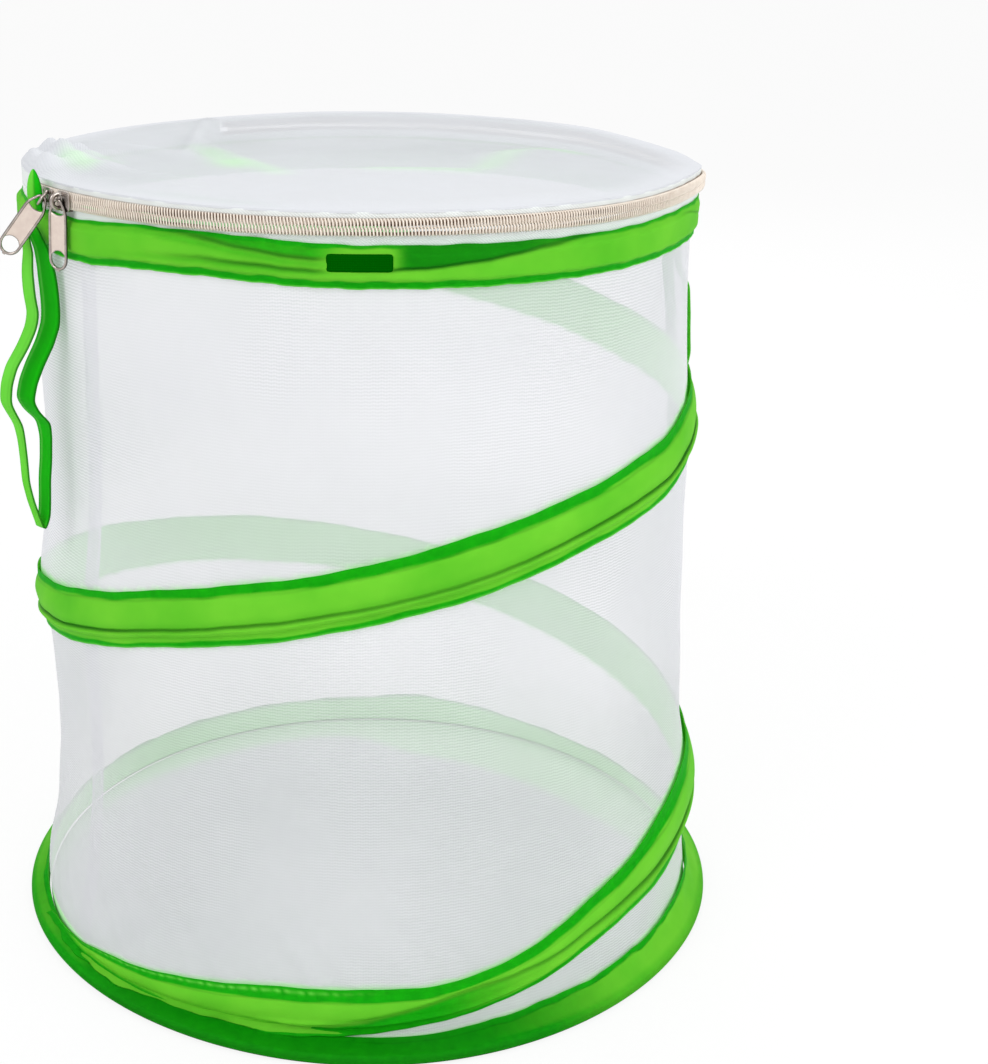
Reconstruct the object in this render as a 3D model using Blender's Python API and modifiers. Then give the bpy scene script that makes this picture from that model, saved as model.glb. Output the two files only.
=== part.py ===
"""Pop-up insect cage: a netting tube between two sleeved wire hoops, with a sleeved spring wire
that spirals down the outside, a zipped netting lid and two ribbon carrying loops.

Metres, +Z up. The origin is on the ground below the middle of the cage. Angles round the cage are
in degrees from +X towards +Y, so 270 is the front.
"""
import math

import bmesh
import bpy
import numpy as np
from mathutils import Matrix, Vector

# Overall sizes
CAGE_HEIGHT = 0.350
WALL_RADIUS = 0.147
FOOT_HOOP_OUTSET = 0.0165
GAP = 0.0003
RING_STEPS = 72
SPIRAL_STEP = 6
FULL_TURN = 360

# Netting wall and its seam
WALL_THICKNESS = 0.0004
WALL_FOOT = 0.0065
FLARE_TOP = 0.260
FLARE_REACH = 0.0093
FLARE_POWER = 2.4
FLARE_ROW_SHARES = (1.0, 0.86, 0.72, 0.58, 0.44, 0.30, 0.15, 0.0)
SEAM_ANGLE = 218
SEAM_WIDTH = 0.009
SEAM_THICKNESS = 0.0005
SEAM_ROOM = 0.004

# Wires and ferrules
WIRE_RADIUS = 0.0008
FERRULE_WALL = 0.0004
FERRULE_LENGTH = 0.008
FERRULE_ROOM = 0.0004
FERRULE_SLACK = 0.0002
TOP_FERRULE_ANGLE = 100
FOOT_FERRULE_ANGLE = 80
HOOP_END_GAP = 0.0006

# Bands that sleeve the hoops
BAND_THICKNESS = 0.0004
TOP_BAND_WIDTH = 0.0165
HEM = 0.0025
HOOP_DEPTH_SHARE = 0.455
PUFF_TOP_SHARE = 0.22
PUFF_BOTTOM_SHARE = 0.67
FOOT_BAND_THICKNESS = 0.0005
FOOT_BAND_TOP = 0.0105
FOOT_HEM = 0.003
FOOT_WRAP_ANGLES = (50, 20, -10, -40, -65, -90)

# Floor
FLOOR_THICKNESS = 0.0005
FLOOR_INSET = 0.0065

# Spiral band: rows of angle turned down from the top, the middle's height as a share of the room
# between the foot band and the top band, and the share of the full width. The band leaves the top
# band at the back left, passes the front twice and runs out into the foot band at the front left.
SPIRAL_START = 195
SPIRAL_WIDTH = 0.026
SPIRAL_SHARES = (
    (0, 0.9973, 0.04), (30, 0.979, 0.46), (52, 0.9585, 0.94), (75, 0.92, 1.02),
    (105, 0.873, 1.00), (135, 0.824, 1.00), (165, 0.7835, 1.02), (195, 0.755, 1.04),
    (225, 0.729, 1.04), (255, 0.6735, 1.01), (285, 0.617, 1.00), (315, 0.559, 0.95),
    (345, 0.498, 0.97), (375, 0.451, 1.02), (405, 0.414, 0.98), (435, 0.368, 0.98),
    (465, 0.3185, 0.99), (495, 0.263, 1.07), (525, 0.2135, 1.17), (555, 0.171, 1.23),
    (580, 0.1355, 1.19), (600, 0.109, 0.98), (613, 0.071, 0.73), (624, 0.0447, 0.61),
    (634, 0.031, 0.62), (648, 0.0286, 0.66), (662, 0.0256, 0.59), (672, 0.0189, 0.43),
    (682, 0.0106, 0.23), (694, 0.0053, 0.10), (702, 0.0023, 0.02),
)
SPIRAL_PUFF = 0.0034
SPIRAL_ROW_SHARES = (-1.0, -0.8, -0.45, 0.35, 0.8, 1.0)
SPIRAL_HEM_SHARE = 0.8
SPIRAL_WIRE_SHARE = -0.45
SPIRAL_WIRE_START = 42
SPIRAL_WIRE_END = 651

# Zip
COIL_HEIGHT = 0.0024
COIL_DEPTH = 0.0020
COIL_PARTING = 0.0012
TAPE_THICKNESS = 0.0005
UPPER_TAPE_SHOWS = 0.0021
LOWER_TAPE_SHOWS = 0.0040
TAPE_SEAM = 0.0045
STOP_LENGTH = 0.0030

# Lid and the unzipped stretch that it hinges on
LID_THICKNESS = 0.0006
LID_OVERHANG = 0.0004
HINGE_MIDDLE = 162.5
HINGE_HALF = 42.5

# Sliders
SLIDER_LENGTH = 0.0095
SLIDER_PLATE = 0.0010
SLIDER_OVER = 0.0009
INNER_PLATE = 0.0009
INNER_CLEARANCE = 0.0010
SLIDER_NECK = 0.0006
SLIDER_NECK_LENGTH = 0.0030
FLANGE = 0.0008
OVERRUN = 0.0004
ARCH_RADIUS = 0.0026
ARCH_WIRE = 0.0006
FRONT_SLIDER_ANGLE = 219
REAR_SLIDER_ANGLE = 214

# Pull tabs
TAB_LENGTH = 0.0278
TAB_HALF_WIDTH = 0.0043
TAB_NECK_HALF = 0.0017
TAB_SHOULDER = 0.0055
TAB_THICKNESS = 0.0012
TAB_STANDS_OFF = 0.0016
TAB_BAR_HALF = 0.0006
EYE_HALF = 0.00095
EYE_END = 0.0040
TAB_HOLE_RADIUS = 0.0028
REAR_TAB_LEAN = 37.6
REAR_TAB_SHIFT = 0.0024
REAR_TAB_STANDS_OFF = 0.0024

# Label
LABEL_WIDTH = 0.0240
LABEL_HEIGHT = 0.0062
LABEL_THICKNESS = 0.0004
LABEL_ANGLE = 269

# Carrying loops: rows of depth below the root, inner strand and outer strand, both as distances
# out from the wall, in shares of the loop's length
STRAP_LENGTH = 0.134
STRAP_WIDTH = 0.0100
STRAP_THICKNESS = 0.0008
STRAP_ROOT_DROP = 0.0020
LEFT_STRAP_ANGLE = 205
LEFT_STRAP_SHARES = (
    (0.04, 0.036, 0.062), (0.10, 0.045, 0.085), (0.20, 0.022, 0.075), (0.28, 0.011, 0.068),
    (0.34, 0.012, 0.074), (0.40, 0.037, 0.125), (0.46, 0.088, 0.166), (0.53, 0.118, 0.187),
    (0.585, 0.127, 0.187), (0.62, 0.104, 0.172), (0.655, 0.070, 0.158), (0.72, 0.068, 0.149),
    (0.80, 0.075, 0.142), (0.91, 0.082, 0.134), (0.96, 0.088, 0.122),
)
RIGHT_STRAP_ANGLE = 15
RIGHT_STRAP_SHARES = (
    (0.04, 0.036, 0.058), (0.11, 0.033, 0.072), (0.20, 0.013, 0.086), (0.44, 0.013, 0.086),
    (0.50, 0.043, 0.086), (0.62, 0.043, 0.086), (0.76, 0.042, 0.083), (0.88, 0.044, 0.075),
    (0.95, 0.048, 0.066),
)
ROOT_FOLD_ANGLE = 208.5
ROOT_FOLD_WIDTH = 0.0080
ROOT_FOLD_THICKNESS = 0.0012
ROOT_FOLD_TUCK = 0.0005

# Places worked out from the sizes above
LID_UNDER = CAGE_HEIGHT - LID_THICKNESS
UPPER_TAPE_TOP = LID_UNDER - GAP
UPPER_COIL_TOP = UPPER_TAPE_TOP - UPPER_TAPE_SHOWS
UPPER_COIL_FOOT = UPPER_COIL_TOP - COIL_HEIGHT
LOWER_COIL_TOP = UPPER_COIL_FOOT - COIL_PARTING
LOWER_COIL_FOOT = LOWER_COIL_TOP - COIL_HEIGHT
TOP_BAND_TOP = LOWER_COIL_FOOT - LOWER_TAPE_SHOWS
TOP_BAND_FOOT = TOP_BAND_TOP - TOP_BAND_WIDTH
WALL_TOP = TOP_BAND_TOP - GAP
TAPE_INNER = WALL_RADIUS + GAP
TAPE_OUTER = TAPE_INNER + TAPE_THICKNESS
COIL_INNER = TAPE_OUTER + GAP
COIL_OUTER = COIL_INNER + COIL_DEPTH
FERRULE_BORE = WIRE_RADIUS + FERRULE_SLACK
FERRULE_RADIUS = FERRULE_BORE + FERRULE_WALL
TOP_HOOP_RADIUS = WALL_RADIUS + FERRULE_ROOM + FERRULE_RADIUS
TOP_HOOP_Z = TOP_BAND_TOP - HOOP_DEPTH_SHARE * TOP_BAND_WIDTH
TOP_PUFF = TOP_HOOP_RADIUS + FERRULE_RADIUS + FERRULE_ROOM
FOOT_HOOP_RADIUS = WALL_RADIUS + FOOT_HOOP_OUTSET
FOOT_HOOP_Z = FOOT_BAND_THICKNESS + FERRULE_ROOM + FERRULE_RADIUS
FLOOR_RADIUS = FOOT_HOOP_RADIUS - FLOOR_INSET
SPIRAL_WIRE_OFF = GAP + WIRE_RADIUS
LID_RADIUS = TAPE_OUTER + LID_OVERHANG
HINGE_LINE = TAPE_OUTER * math.cos(math.radians(HINGE_HALF))
HINGE_Z = CAGE_HEIGHT + GAP
ZIP_START = HINGE_MIDDLE + HINGE_HALF
ZIP_SWEEP = FULL_TURN - HINGE_HALF - HINGE_HALF
SLIDER_FACE = COIL_OUTER + GAP
SLIDER_OUT = SLIDER_FACE + SLIDER_PLATE
SLIDER_MIDDLE_Z = (LOWER_COIL_TOP + UPPER_COIL_FOOT) / 2
ROOT_RADIUS = WALL_RADIUS + STRAP_LENGTH * LEFT_STRAP_SHARES[0][1]
ROOT_Z = TOP_BAND_TOP - STRAP_ROOT_DROP


def clear_scene():
    for thing in list(bpy.data.objects):
        bpy.data.objects.remove(thing, do_unlink=True)


clear_scene()
CAGE = bpy.data.collections.new("insect_cage")
GUIDES = bpy.data.collections.new("guides")
bpy.context.scene.collection.children.link(CAGE)
bpy.context.scene.collection.children.link(GUIDES)


def material(name, colour, roughness, metallic=0.0):
    made = bpy.data.materials.new(name)
    made.use_nodes = True
    shader = made.node_tree.nodes["Principled BSDF"]
    shader.inputs["Base Color"].default_value = (*colour, 1.0)
    shader.inputs["Roughness"].default_value = roughness
    shader.inputs["Metallic"].default_value = metallic
    return made


GREEN = (0.115, 0.60, 0.035)
DEEP_GREEN = (0.0, 0.36, 0.0)
NETTING = (0.82, 0.84, 0.86)
CREAM = (0.75, 0.68, 0.60)
STEEL = (0.55, 0.55, 0.56)
NICKEL = (0.68, 0.62, 0.58)
LABEL_GREEN = (0.0, 0.09, 0.0)


def place(thing, name, look, collection=CAGE):
    """Names a new object, gives it its material and puts it in a collection."""
    for owner in list(thing.users_collection):
        owner.objects.unlink(thing)
    collection.objects.link(thing)
    thing.name = name
    thing.data.name = name
    if look is not None:
        colour, roughness, metallic = look
        thing.data.materials.clear()
        thing.data.materials.append(material(name, colour, roughness, metallic))
    return thing


CLOTH = 0.75
SHINE = 0.3


def green_cloth():
    return GREEN, CLOTH, 0.0


def mesh_object(name, points, edges, faces, look, collection=CAGE):
    mesh = bpy.data.meshes.new(name)
    mesh.from_pydata([tuple(p) for p in points], edges, faces)
    return place(bpy.data.objects.new(name, mesh), name, look, collection)


def thicken(thing, thickness, outward=True):
    """Gives an open surface its thickness, on the side that its normals point to."""
    wall = thing.modifiers.new("wall", "SOLIDIFY")
    wall.thickness = thickness
    wall.offset = 1.0 if outward else -1.0
    wall.use_even_offset = True
    return thing


def turned(name, profile, look, thickness=None, start=0.0, sweep=FULL_TURN):
    """A profile of (radius, height) turned about Z. It runs down its outer side, top to bottom."""
    whole = sweep == FULL_TURN
    steps = RING_STEPS if whole else max(1, round(sweep * RING_STEPS / FULL_TURN))
    closed = thickness is None
    count = len(profile)
    edges = [(i, (i + 1) % count) for i in range(count if closed else count - 1)]
    made = mesh_object(name, [(r, 0, z) for r, z in profile], edges, [], look)
    screw = made.modifiers.new("turn", "SCREW")
    screw.angle = math.radians(sweep)
    screw.steps = steps
    screw.render_steps = steps
    screw.use_merge_vertices = whole
    screw.merge_threshold = 0.00001
    screw.use_smooth_shade = True
    if thickness is not None:
        thicken(made, thickness)
    made.rotation_euler.z = math.radians(start)
    return made


def wire(name, points, radius, look, cyclic=False, collection=CAGE):
    """A round wire along a list of points."""
    curve = bpy.data.curves.new(name, "CURVE")
    curve.dimensions = "3D"
    curve.bevel_depth = radius
    curve.bevel_resolution = 1
    curve.use_fill_caps = True
    spline = curve.splines.new("POLY")
    spline.points.add(len(points) - 1)
    for spot, point in zip(spline.points, points):
        spot.co = (*point, 1.0)
    spline.use_cyclic_u = cyclic
    return place(bpy.data.objects.new(name, curve), name, look, collection)


def flat_sheet(name, outlines, thickness, look):
    """A flat piece of an even thickness, cut to its outlines in its own XY plane."""
    curve = bpy.data.curves.new(name, "CURVE")
    curve.dimensions = "2D"
    curve.fill_mode = "BOTH"
    curve.extrude = thickness / 2
    for outline in outlines:
        spline = curve.splines.new("POLY")
        spline.points.add(len(outline) - 1)
        for spot, (x, y) in zip(spline.points, outline):
            spot.co = (x, y, 0.0, 1.0)
        spline.use_cyclic_u = True
    return place(bpy.data.objects.new(name, curve), name, look)


def box(name, low, high, collection=GUIDES):
    """A box from its lowest to its highest corner, in its own frame."""
    low, high = Vector(low), Vector(high)
    shape = bmesh.new()
    bmesh.ops.create_cube(shape, size=1.0)
    bmesh.ops.scale(shape, vec=high - low, verts=shape.verts)
    bmesh.ops.translate(shape, vec=(low + high) / 2, verts=shape.verts)
    mesh = bpy.data.meshes.new(name)
    shape.to_mesh(mesh)
    shape.free()
    return place(bpy.data.objects.new(name, mesh), name, None, collection)


def meshed(curve_object):
    """Turns a curve object into a mesh with its caps welded."""
    bpy.context.view_layer.update()
    ready = curve_object.evaluated_get(bpy.context.evaluated_depsgraph_get())
    mesh = bpy.data.meshes.new_from_object(ready)
    shape = bmesh.new()
    shape.from_mesh(mesh)
    bmesh.ops.remove_doubles(shape, verts=shape.verts, dist=0.00001)
    bmesh.ops.recalc_face_normals(shape, faces=shape.faces)
    shape.to_mesh(mesh)
    shape.free()
    name = curve_object.name
    made = bpy.data.objects.new(name + "_mesh", mesh)
    made.matrix_world = curve_object.matrix_world
    GUIDES.objects.link(made)
    bpy.data.objects.remove(curve_object, do_unlink=True)
    return made


def joined(thing, others):
    """Joins other solids to this one for good, with Boolean unions."""
    for other in others:
        other.hide_render = True
        other.display_type = "WIRE"
        union = thing.modifiers.new("join", "BOOLEAN")
        union.operation = "UNION"
        union.solver = "EXACT"
        union.object = other
    return thing


def polar(radius, angle, z=0.0):
    turn = math.radians(angle)
    return Vector((radius * math.cos(turn), radius * math.sin(turn), z))


def outward(angle):
    return polar(1.0, angle)


def tangent(angle):
    """The direction in which the angle grows."""
    turn = math.radians(angle)
    return Vector((-math.sin(turn), math.cos(turn), 0.0))


def flare(z):
    """How far the wall stands out at a height: nothing above the flare, most at its foot."""
    part = min(max((FLARE_TOP - z) / (FLARE_TOP - WALL_FOOT), 0.0), 1.0)
    return WALL_RADIUS + FLARE_REACH * part ** FLARE_POWER


def netting_wall():
    """The flared tube of netting and, inside it, the tape of its seam."""
    rows = [WALL_FOOT + (FLARE_TOP - WALL_FOOT) * share for share in FLARE_ROW_SHARES]
    profile = [(flare(z) - WALL_THICKNESS, z) for z in [WALL_TOP] + rows]
    turned("mesh_wall", profile, (NETTING, CLOTH, 0.0), WALL_THICKNESS)
    half = math.degrees(SEAM_WIDTH / WALL_RADIUS) / 2
    depth = WALL_THICKNESS + GAP + SEAM_THICKNESS
    rows = [TOP_BAND_FOOT] + rows[:-1] + [WALL_FOOT + SEAM_ROOM]
    profile = [(flare(z) - depth, z) for z in rows]
    turned("side_seam_tape", profile, (NETTING, CLOTH, 0.0), SEAM_THICKNESS,
           SEAM_ANGLE - half, half + half)


def hoop(name, radius, z, joint_angle):
    """An open ring of wire whose ends meet, with a small gap, at one angle."""
    gap = math.degrees(HOOP_END_GAP / radius)
    span = FULL_TURN - gap
    start = joint_angle + gap / 2
    points = [polar(radius, start + span * i / RING_STEPS, z) for i in range(RING_STEPS + 1)]
    wire(name, points, WIRE_RADIUS, (STEEL, SHINE, 1.0))


def ferrule(name, radius, z, angle):
    """A short tube crimped over the hoop's two ends."""
    half = FERRULE_LENGTH / 2
    profile = [(FERRULE_BORE, half), (FERRULE_RADIUS, half),
               (FERRULE_RADIUS, -half), (FERRULE_BORE, -half)]
    made = turned(name, profile, (STEEL, SHINE, 1.0))
    made.modifiers["turn"].steps = made.modifiers["turn"].render_steps = RING_STEPS // 6
    made.matrix_world = Matrix.Translation(polar(radius, angle, z)) @ (
        tangent(angle).to_track_quat("Z", "Y").to_matrix().to_4x4())


def top_band():
    """The sleeve of the top hoop: a flat hem above and below, and a puff over the wire."""
    upper_hem = TAPE_OUTER + GAP
    lower_hem = WALL_RADIUS + GAP
    profile = [
        (upper_hem, TOP_BAND_TOP),
        (upper_hem, TOP_BAND_TOP - HEM),
        (TOP_PUFF, TOP_BAND_TOP - PUFF_TOP_SHARE * TOP_BAND_WIDTH),
        (TOP_PUFF, TOP_BAND_TOP - PUFF_BOTTOM_SHARE * TOP_BAND_WIDTH),
        (lower_hem, TOP_BAND_FOOT + HEM),
        (lower_hem, TOP_BAND_FOOT),
    ]
    turned("top_band", profile, green_cloth(), BAND_THICKNESS)


def label():
    skin = TOP_PUFF + BAND_THICKNESS + GAP
    half = math.degrees(LABEL_WIDTH / skin) / 2
    upper = TOP_BAND_TOP - PUFF_TOP_SHARE * TOP_BAND_WIDTH
    lower = TOP_BAND_TOP - PUFF_BOTTOM_SHARE * TOP_BAND_WIDTH
    middle = (upper + lower) / 2
    tall = min(LABEL_HEIGHT, upper - lower)
    profile = [(skin, middle + tall / 2), (skin, middle - tall / 2)]
    turned("blank_label", profile, (LABEL_GREEN, CLOTH, 0.0), LABEL_THICKNESS,
           LABEL_ANGLE - half, half + half)


def foot_band():
    """The sleeve of the foot hoop: a hem on the flared wall, round the wire and in underneath."""
    reach = FERRULE_RADIUS + FERRULE_ROOM
    hem_top, hem_foot = FOOT_BAND_TOP, FOOT_BAND_TOP - FOOT_HEM
    profile = [(flare(hem_top) + GAP + GAP, hem_top), (flare(hem_foot) + GAP + GAP, hem_foot)]
    for angle in FOOT_WRAP_ANGLES:
        turn = math.radians(angle)
        profile.append((FOOT_HOOP_RADIUS + reach * math.cos(turn),
                        FOOT_HOOP_Z + reach * math.sin(turn)))
    profile.append((FLOOR_RADIUS + GAP, FOOT_BAND_THICKNESS))
    turned("foot_band", profile, green_cloth(), FOOT_BAND_THICKNESS)


def floor_panel():
    bpy.ops.mesh.primitive_cylinder_add(
        vertices=RING_STEPS, radius=FLOOR_RADIUS, depth=FLOOR_THICKNESS,
        location=(0, 0, FLOOR_THICKNESS / 2))
    place(bpy.context.object, "floor_panel", (NETTING, CLOTH, 0.0))


def spiral_edges(turned_down):
    """The heights of the spiral band's upper and lower edges after an angle of descent."""
    angles, middles, widths = np.array(SPIRAL_SHARES).T
    near = np.linspace(-SPIRAL_STEP, SPIRAL_STEP, 5) + turned_down
    near = np.clip(near, angles[0], angles[-1])
    room = TOP_BAND_FOOT - FOOT_BAND_TOP
    middle = FOOT_BAND_TOP + np.interp(near, angles, middles).mean() * room
    half = np.interp(near, angles, widths).mean() * SPIRAL_WIDTH / 2
    least = HEM / 4
    high = min(middle + half, TOP_BAND_FOOT - GAP)
    low = min(max(middle - half, FOOT_BAND_TOP + GAP), high - least)
    return max(high, low + least), low


def spiral_band():
    """A grid over angle and share of the width: it hugs the wall at its hems and puffs between."""
    last = SPIRAL_SHARES[-1][0]
    stations = np.linspace(0, last, round(last / SPIRAL_STEP) + 1)
    rows = SPIRAL_ROW_SHARES
    points = []
    for down in stations:
        high, low = spiral_edges(down)
        middle, half = (high + low) / 2, (high - low) / 2
        fade = min(1.0, 4 * half / SPIRAL_WIDTH)
        for share in rows:
            z = middle + half * share
            swell = max(0.0, 1.0 - (share / SPIRAL_HEM_SHARE) ** 2)
            off = GAP + GAP + SPIRAL_PUFF * fade * swell
            points.append(polar(flare(z) + off, SPIRAL_START - down, z))
    count = len(rows)
    faces = []
    for i in range(len(stations) - 1):
        for j in range(count - 1):
            a = i * count + j
            faces.append((a, a + 1, a + count + 1, a + count))
    made = mesh_object("spiral_band", points, [], faces, green_cloth())
    thicken(made, BAND_THICKNESS)
    return made


def spiral_wire():
    stations = np.arange(SPIRAL_WIRE_START, SPIRAL_WIRE_END + 1, SPIRAL_STEP)
    points = []
    for down in stations:
        high, low = spiral_edges(down)
        z = (high + low) / 2 + SPIRAL_WIRE_SHARE * (high - low) / 2
        points.append(polar(flare(z - WIRE_RADIUS) + SPIRAL_WIRE_OFF + GAP, SPIRAL_START - down, z))
    wire("spiral_wire", points, WIRE_RADIUS, (STEEL, SHINE, 1.0))
    turn = FULL_TURN // SPIRAL_STEP
    gaps = [(points[i] - points[j]).length for i in range(len(points) - turn // 2)
            for j in range(i + turn // 2, len(points))]
    print("spiral_wire: least gap to itself, m:", round(min(gaps) - 2 * WIRE_RADIUS, 4))


def zip_pieces():
    """Two tapes, two coils that stand on them and the stops at both ends."""
    skin = (CREAM, CLOTH, 0.0)
    trim = math.degrees(GAP / TAPE_OUTER)
    stop = math.degrees(STOP_LENGTH / COIL_INNER)
    start, sweep = ZIP_START + trim, ZIP_SWEEP - trim - trim
    turned("zip_lower_tape", [(TAPE_INNER, LOWER_COIL_TOP), (TAPE_INNER, TOP_BAND_TOP - TAPE_SEAM)],
           (NETTING, CLOTH, 0.0), TAPE_THICKNESS)
    upper = turned("zip_upper_tape", [(TAPE_INNER, UPPER_TAPE_TOP), (TAPE_INNER, UPPER_COIL_FOOT)],
                   (NETTING, CLOTH, 0.0), TAPE_THICKNESS, start, sweep)
    turned("lid_hinge_tape", [(TAPE_INNER, UPPER_TAPE_TOP), (TAPE_INNER, LOWER_COIL_TOP + GAP)],
           (NETTING, CLOTH, 0.0), TAPE_THICKNESS,
           ZIP_START + ZIP_SWEEP + trim, FULL_TURN - ZIP_SWEEP - trim - trim)
    start, sweep = ZIP_START + stop + trim, ZIP_SWEEP - 2 * (stop + trim)
    turned("zip_lower_coil", [(COIL_INNER, LOWER_COIL_TOP), (COIL_INNER, LOWER_COIL_FOOT)],
           skin, COIL_DEPTH, start, sweep)
    coil = turned("zip_upper_coil", [(COIL_INNER, UPPER_COIL_TOP), (COIL_INNER, UPPER_COIL_FOOT)],
                  skin, COIL_DEPTH, start, sweep)
    half = (stop - trim) / 2
    for name, middle in (("zip_start_stop", ZIP_START + stop / 2),
                         ("zip_end_stop", ZIP_START + ZIP_SWEEP - stop / 2)):
        turned(name, [(COIL_INNER, LOWER_COIL_TOP), (COIL_INNER, LOWER_COIL_FOOT)],
               (NICKEL, SHINE, 1.0), COIL_DEPTH, middle - half, half + half)
    return upper, coil


def lid_outline(radius, line, first, sweep):
    """An arc closed by the straight hinge line, in the lid's plane."""
    steps = round(sweep * RING_STEPS / FULL_TURN)
    reach = math.degrees(math.acos(line / radius))
    low = HINGE_MIDDLE + reach if first else HINGE_MIDDLE - reach
    span = FULL_TURN - reach - reach if first else reach + reach
    return [polar(radius, low + span * i / steps).xy for i in range(steps + 1)]


def lid_pieces(upper_tape, upper_coil):
    middle_z = LID_UNDER + LID_THICKNESS / 2
    lid = flat_sheet("lid_panel", [lid_outline(LID_RADIUS, HINGE_LINE - GAP / 2, True, ZIP_SWEEP)],
                     LID_THICKNESS, (NETTING, CLOTH, 0.0))
    strip = flat_sheet(
        "lid_hinge_panel",
        [lid_outline(LID_RADIUS, HINGE_LINE + GAP / 2, False, FULL_TURN - ZIP_SWEEP)],
        LID_THICKNESS, (NETTING, CLOTH, 0.0))
    for sheet in (lid, strip):
        sheet.location.z = middle_z
    hinge = bpy.data.objects.new("lid_hinge", None)
    CAGE.objects.link(hinge)
    hinge.location = polar(HINGE_LINE, HINGE_MIDDLE, HINGE_Z)
    bpy.context.view_layer.update()
    for piece in (lid, upper_tape, upper_coil):
        piece.parent = hinge
        piece.matrix_parent_inverse = hinge.matrix_world.inverted()


def slider(name, angle, bar, down, face):
    """A slider on the zip: outer plate, flange under the lower coil, neck, inner plate, and the
    wire arch that a pull tab's bar hangs in. The arch bends round the bar, from below it to above.
    """
    half = SLIDER_LENGTH / 2
    foot = LOWER_COIL_FOOT - GAP - FLANGE
    top = UPPER_COIL_TOP + SLIDER_OVER
    inner_out = TAPE_INNER - INNER_CLEARANCE
    inner_in = inner_out - INNER_PLATE
    body = box(name, (SLIDER_FACE, -half, foot), (SLIDER_OUT, half, top), CAGE)
    place(body, name, (NICKEL, SHINE, 1.0))
    flange = box(name + "_flange", (TAPE_OUTER + GAP + GAP, -half, foot),
                 (SLIDER_OUT - OVERRUN, half - OVERRUN, foot + FLANGE))
    neck = box(name + "_neck",
               (inner_out - OVERRUN, -SLIDER_NECK_LENGTH / 2, SLIDER_MIDDLE_Z - SLIDER_NECK / 2),
               (SLIDER_FACE + OVERRUN, SLIDER_NECK_LENGTH / 2, SLIDER_MIDDLE_Z + SLIDER_NECK / 2))
    plate = box(name + "_plate", (inner_in, -half, LOWER_COIL_FOOT), (inner_out, half, UPPER_COIL_TOP))
    spin = Matrix.Rotation(math.radians(angle), 4, "Z")
    for piece in (body, flange, neck, plate):
        piece.matrix_world = spin
    out = outward(angle)
    middle = (SLIDER_FACE + SLIDER_OUT) / 2
    lower, upper = bar + down * ARCH_RADIUS, bar - down * ARCH_RADIUS
    legs = [(point.dot(out) - middle) / face.dot(out) for point in (lower, upper)]
    turns = [math.pi * (i / 6 - 0.5) for i in range(7)]
    bend = [bar + ARCH_RADIUS * (face * math.cos(t) - down * math.sin(t)) for t in turns]
    points = [lower - face * legs[0]] + bend + [upper - face * legs[1]]
    arch = meshed(wire(name + "_arch", points, ARCH_WIRE, None, collection=GUIDES))
    return joined(body, [flange, neck, plate, arch])


def tab_outline():
    """Narrow at the bar, full width below the shoulder, with a round end. X is the tab's width
    and Y runs down its length from the bar."""
    end = TAB_LENGTH - TAB_HALF_WIDTH - TAB_BAR_HALF
    right = [(TAB_NECK_HALF, -TAB_BAR_HALF), (TAB_HALF_WIDTH, TAB_SHOULDER)]
    round_end = []
    for i in range(9):
        turn = math.pi * i / 8
        round_end.append((TAB_HALF_WIDTH * math.cos(turn), end + TAB_HALF_WIDTH * math.sin(turn)))
    left = [(-TAB_HALF_WIDTH, TAB_SHOULDER), (-TAB_NECK_HALF, -TAB_BAR_HALF)]
    hole = []
    for i in range(12):
        turn = 2 * math.pi * i / 12
        hole.append((TAB_HOLE_RADIUS * math.cos(turn), end + TAB_HOLE_RADIUS * math.sin(turn)))
    eye = [(EYE_HALF, TAB_BAR_HALF), (EYE_HALF, EYE_END), (-EYE_HALF, EYE_END), (-EYE_HALF, TAB_BAR_HALF)]
    return [right + round_end + left, hole, eye]


def pull_tab(name, bar, down, face):
    """A pull tab whose bar is at its origin, hanging along `down` with its face to `face`."""
    tab = flat_sheet(name, tab_outline(), TAB_THICKNESS, (NICKEL, SHINE, 1.0))
    side = down.cross(face)
    frame = Matrix((side, down, face)).transposed().to_4x4()
    tab.matrix_world = Matrix.Translation(bar) @ frame


def sliders():
    down = Vector((0, 0, -1))
    out = outward(FRONT_SLIDER_ANGLE)
    bar = out * (SLIDER_OUT + TAB_STANDS_OFF) + Vector((0, 0, SLIDER_MIDDLE_Z))
    slider("front_slider", FRONT_SLIDER_ANGLE, bar, down, out)
    pull_tab("front_puller", bar, down, out)
    lean = math.radians(REAR_TAB_LEAN)
    down = Vector((-math.sin(lean), 0, -math.cos(lean)))
    face = Vector((0, -1, 0))
    out = outward(REAR_SLIDER_ANGLE)
    bar = (out * (SLIDER_OUT + REAR_TAB_STANDS_OFF) + tangent(REAR_SLIDER_ANGLE) * REAR_TAB_SHIFT
           + Vector((0, 0, SLIDER_MIDDLE_Z)))
    slider("rear_slider", REAR_SLIDER_ANGLE, bar, down, face)
    pull_tab("rear_puller", bar, down, face)


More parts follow.
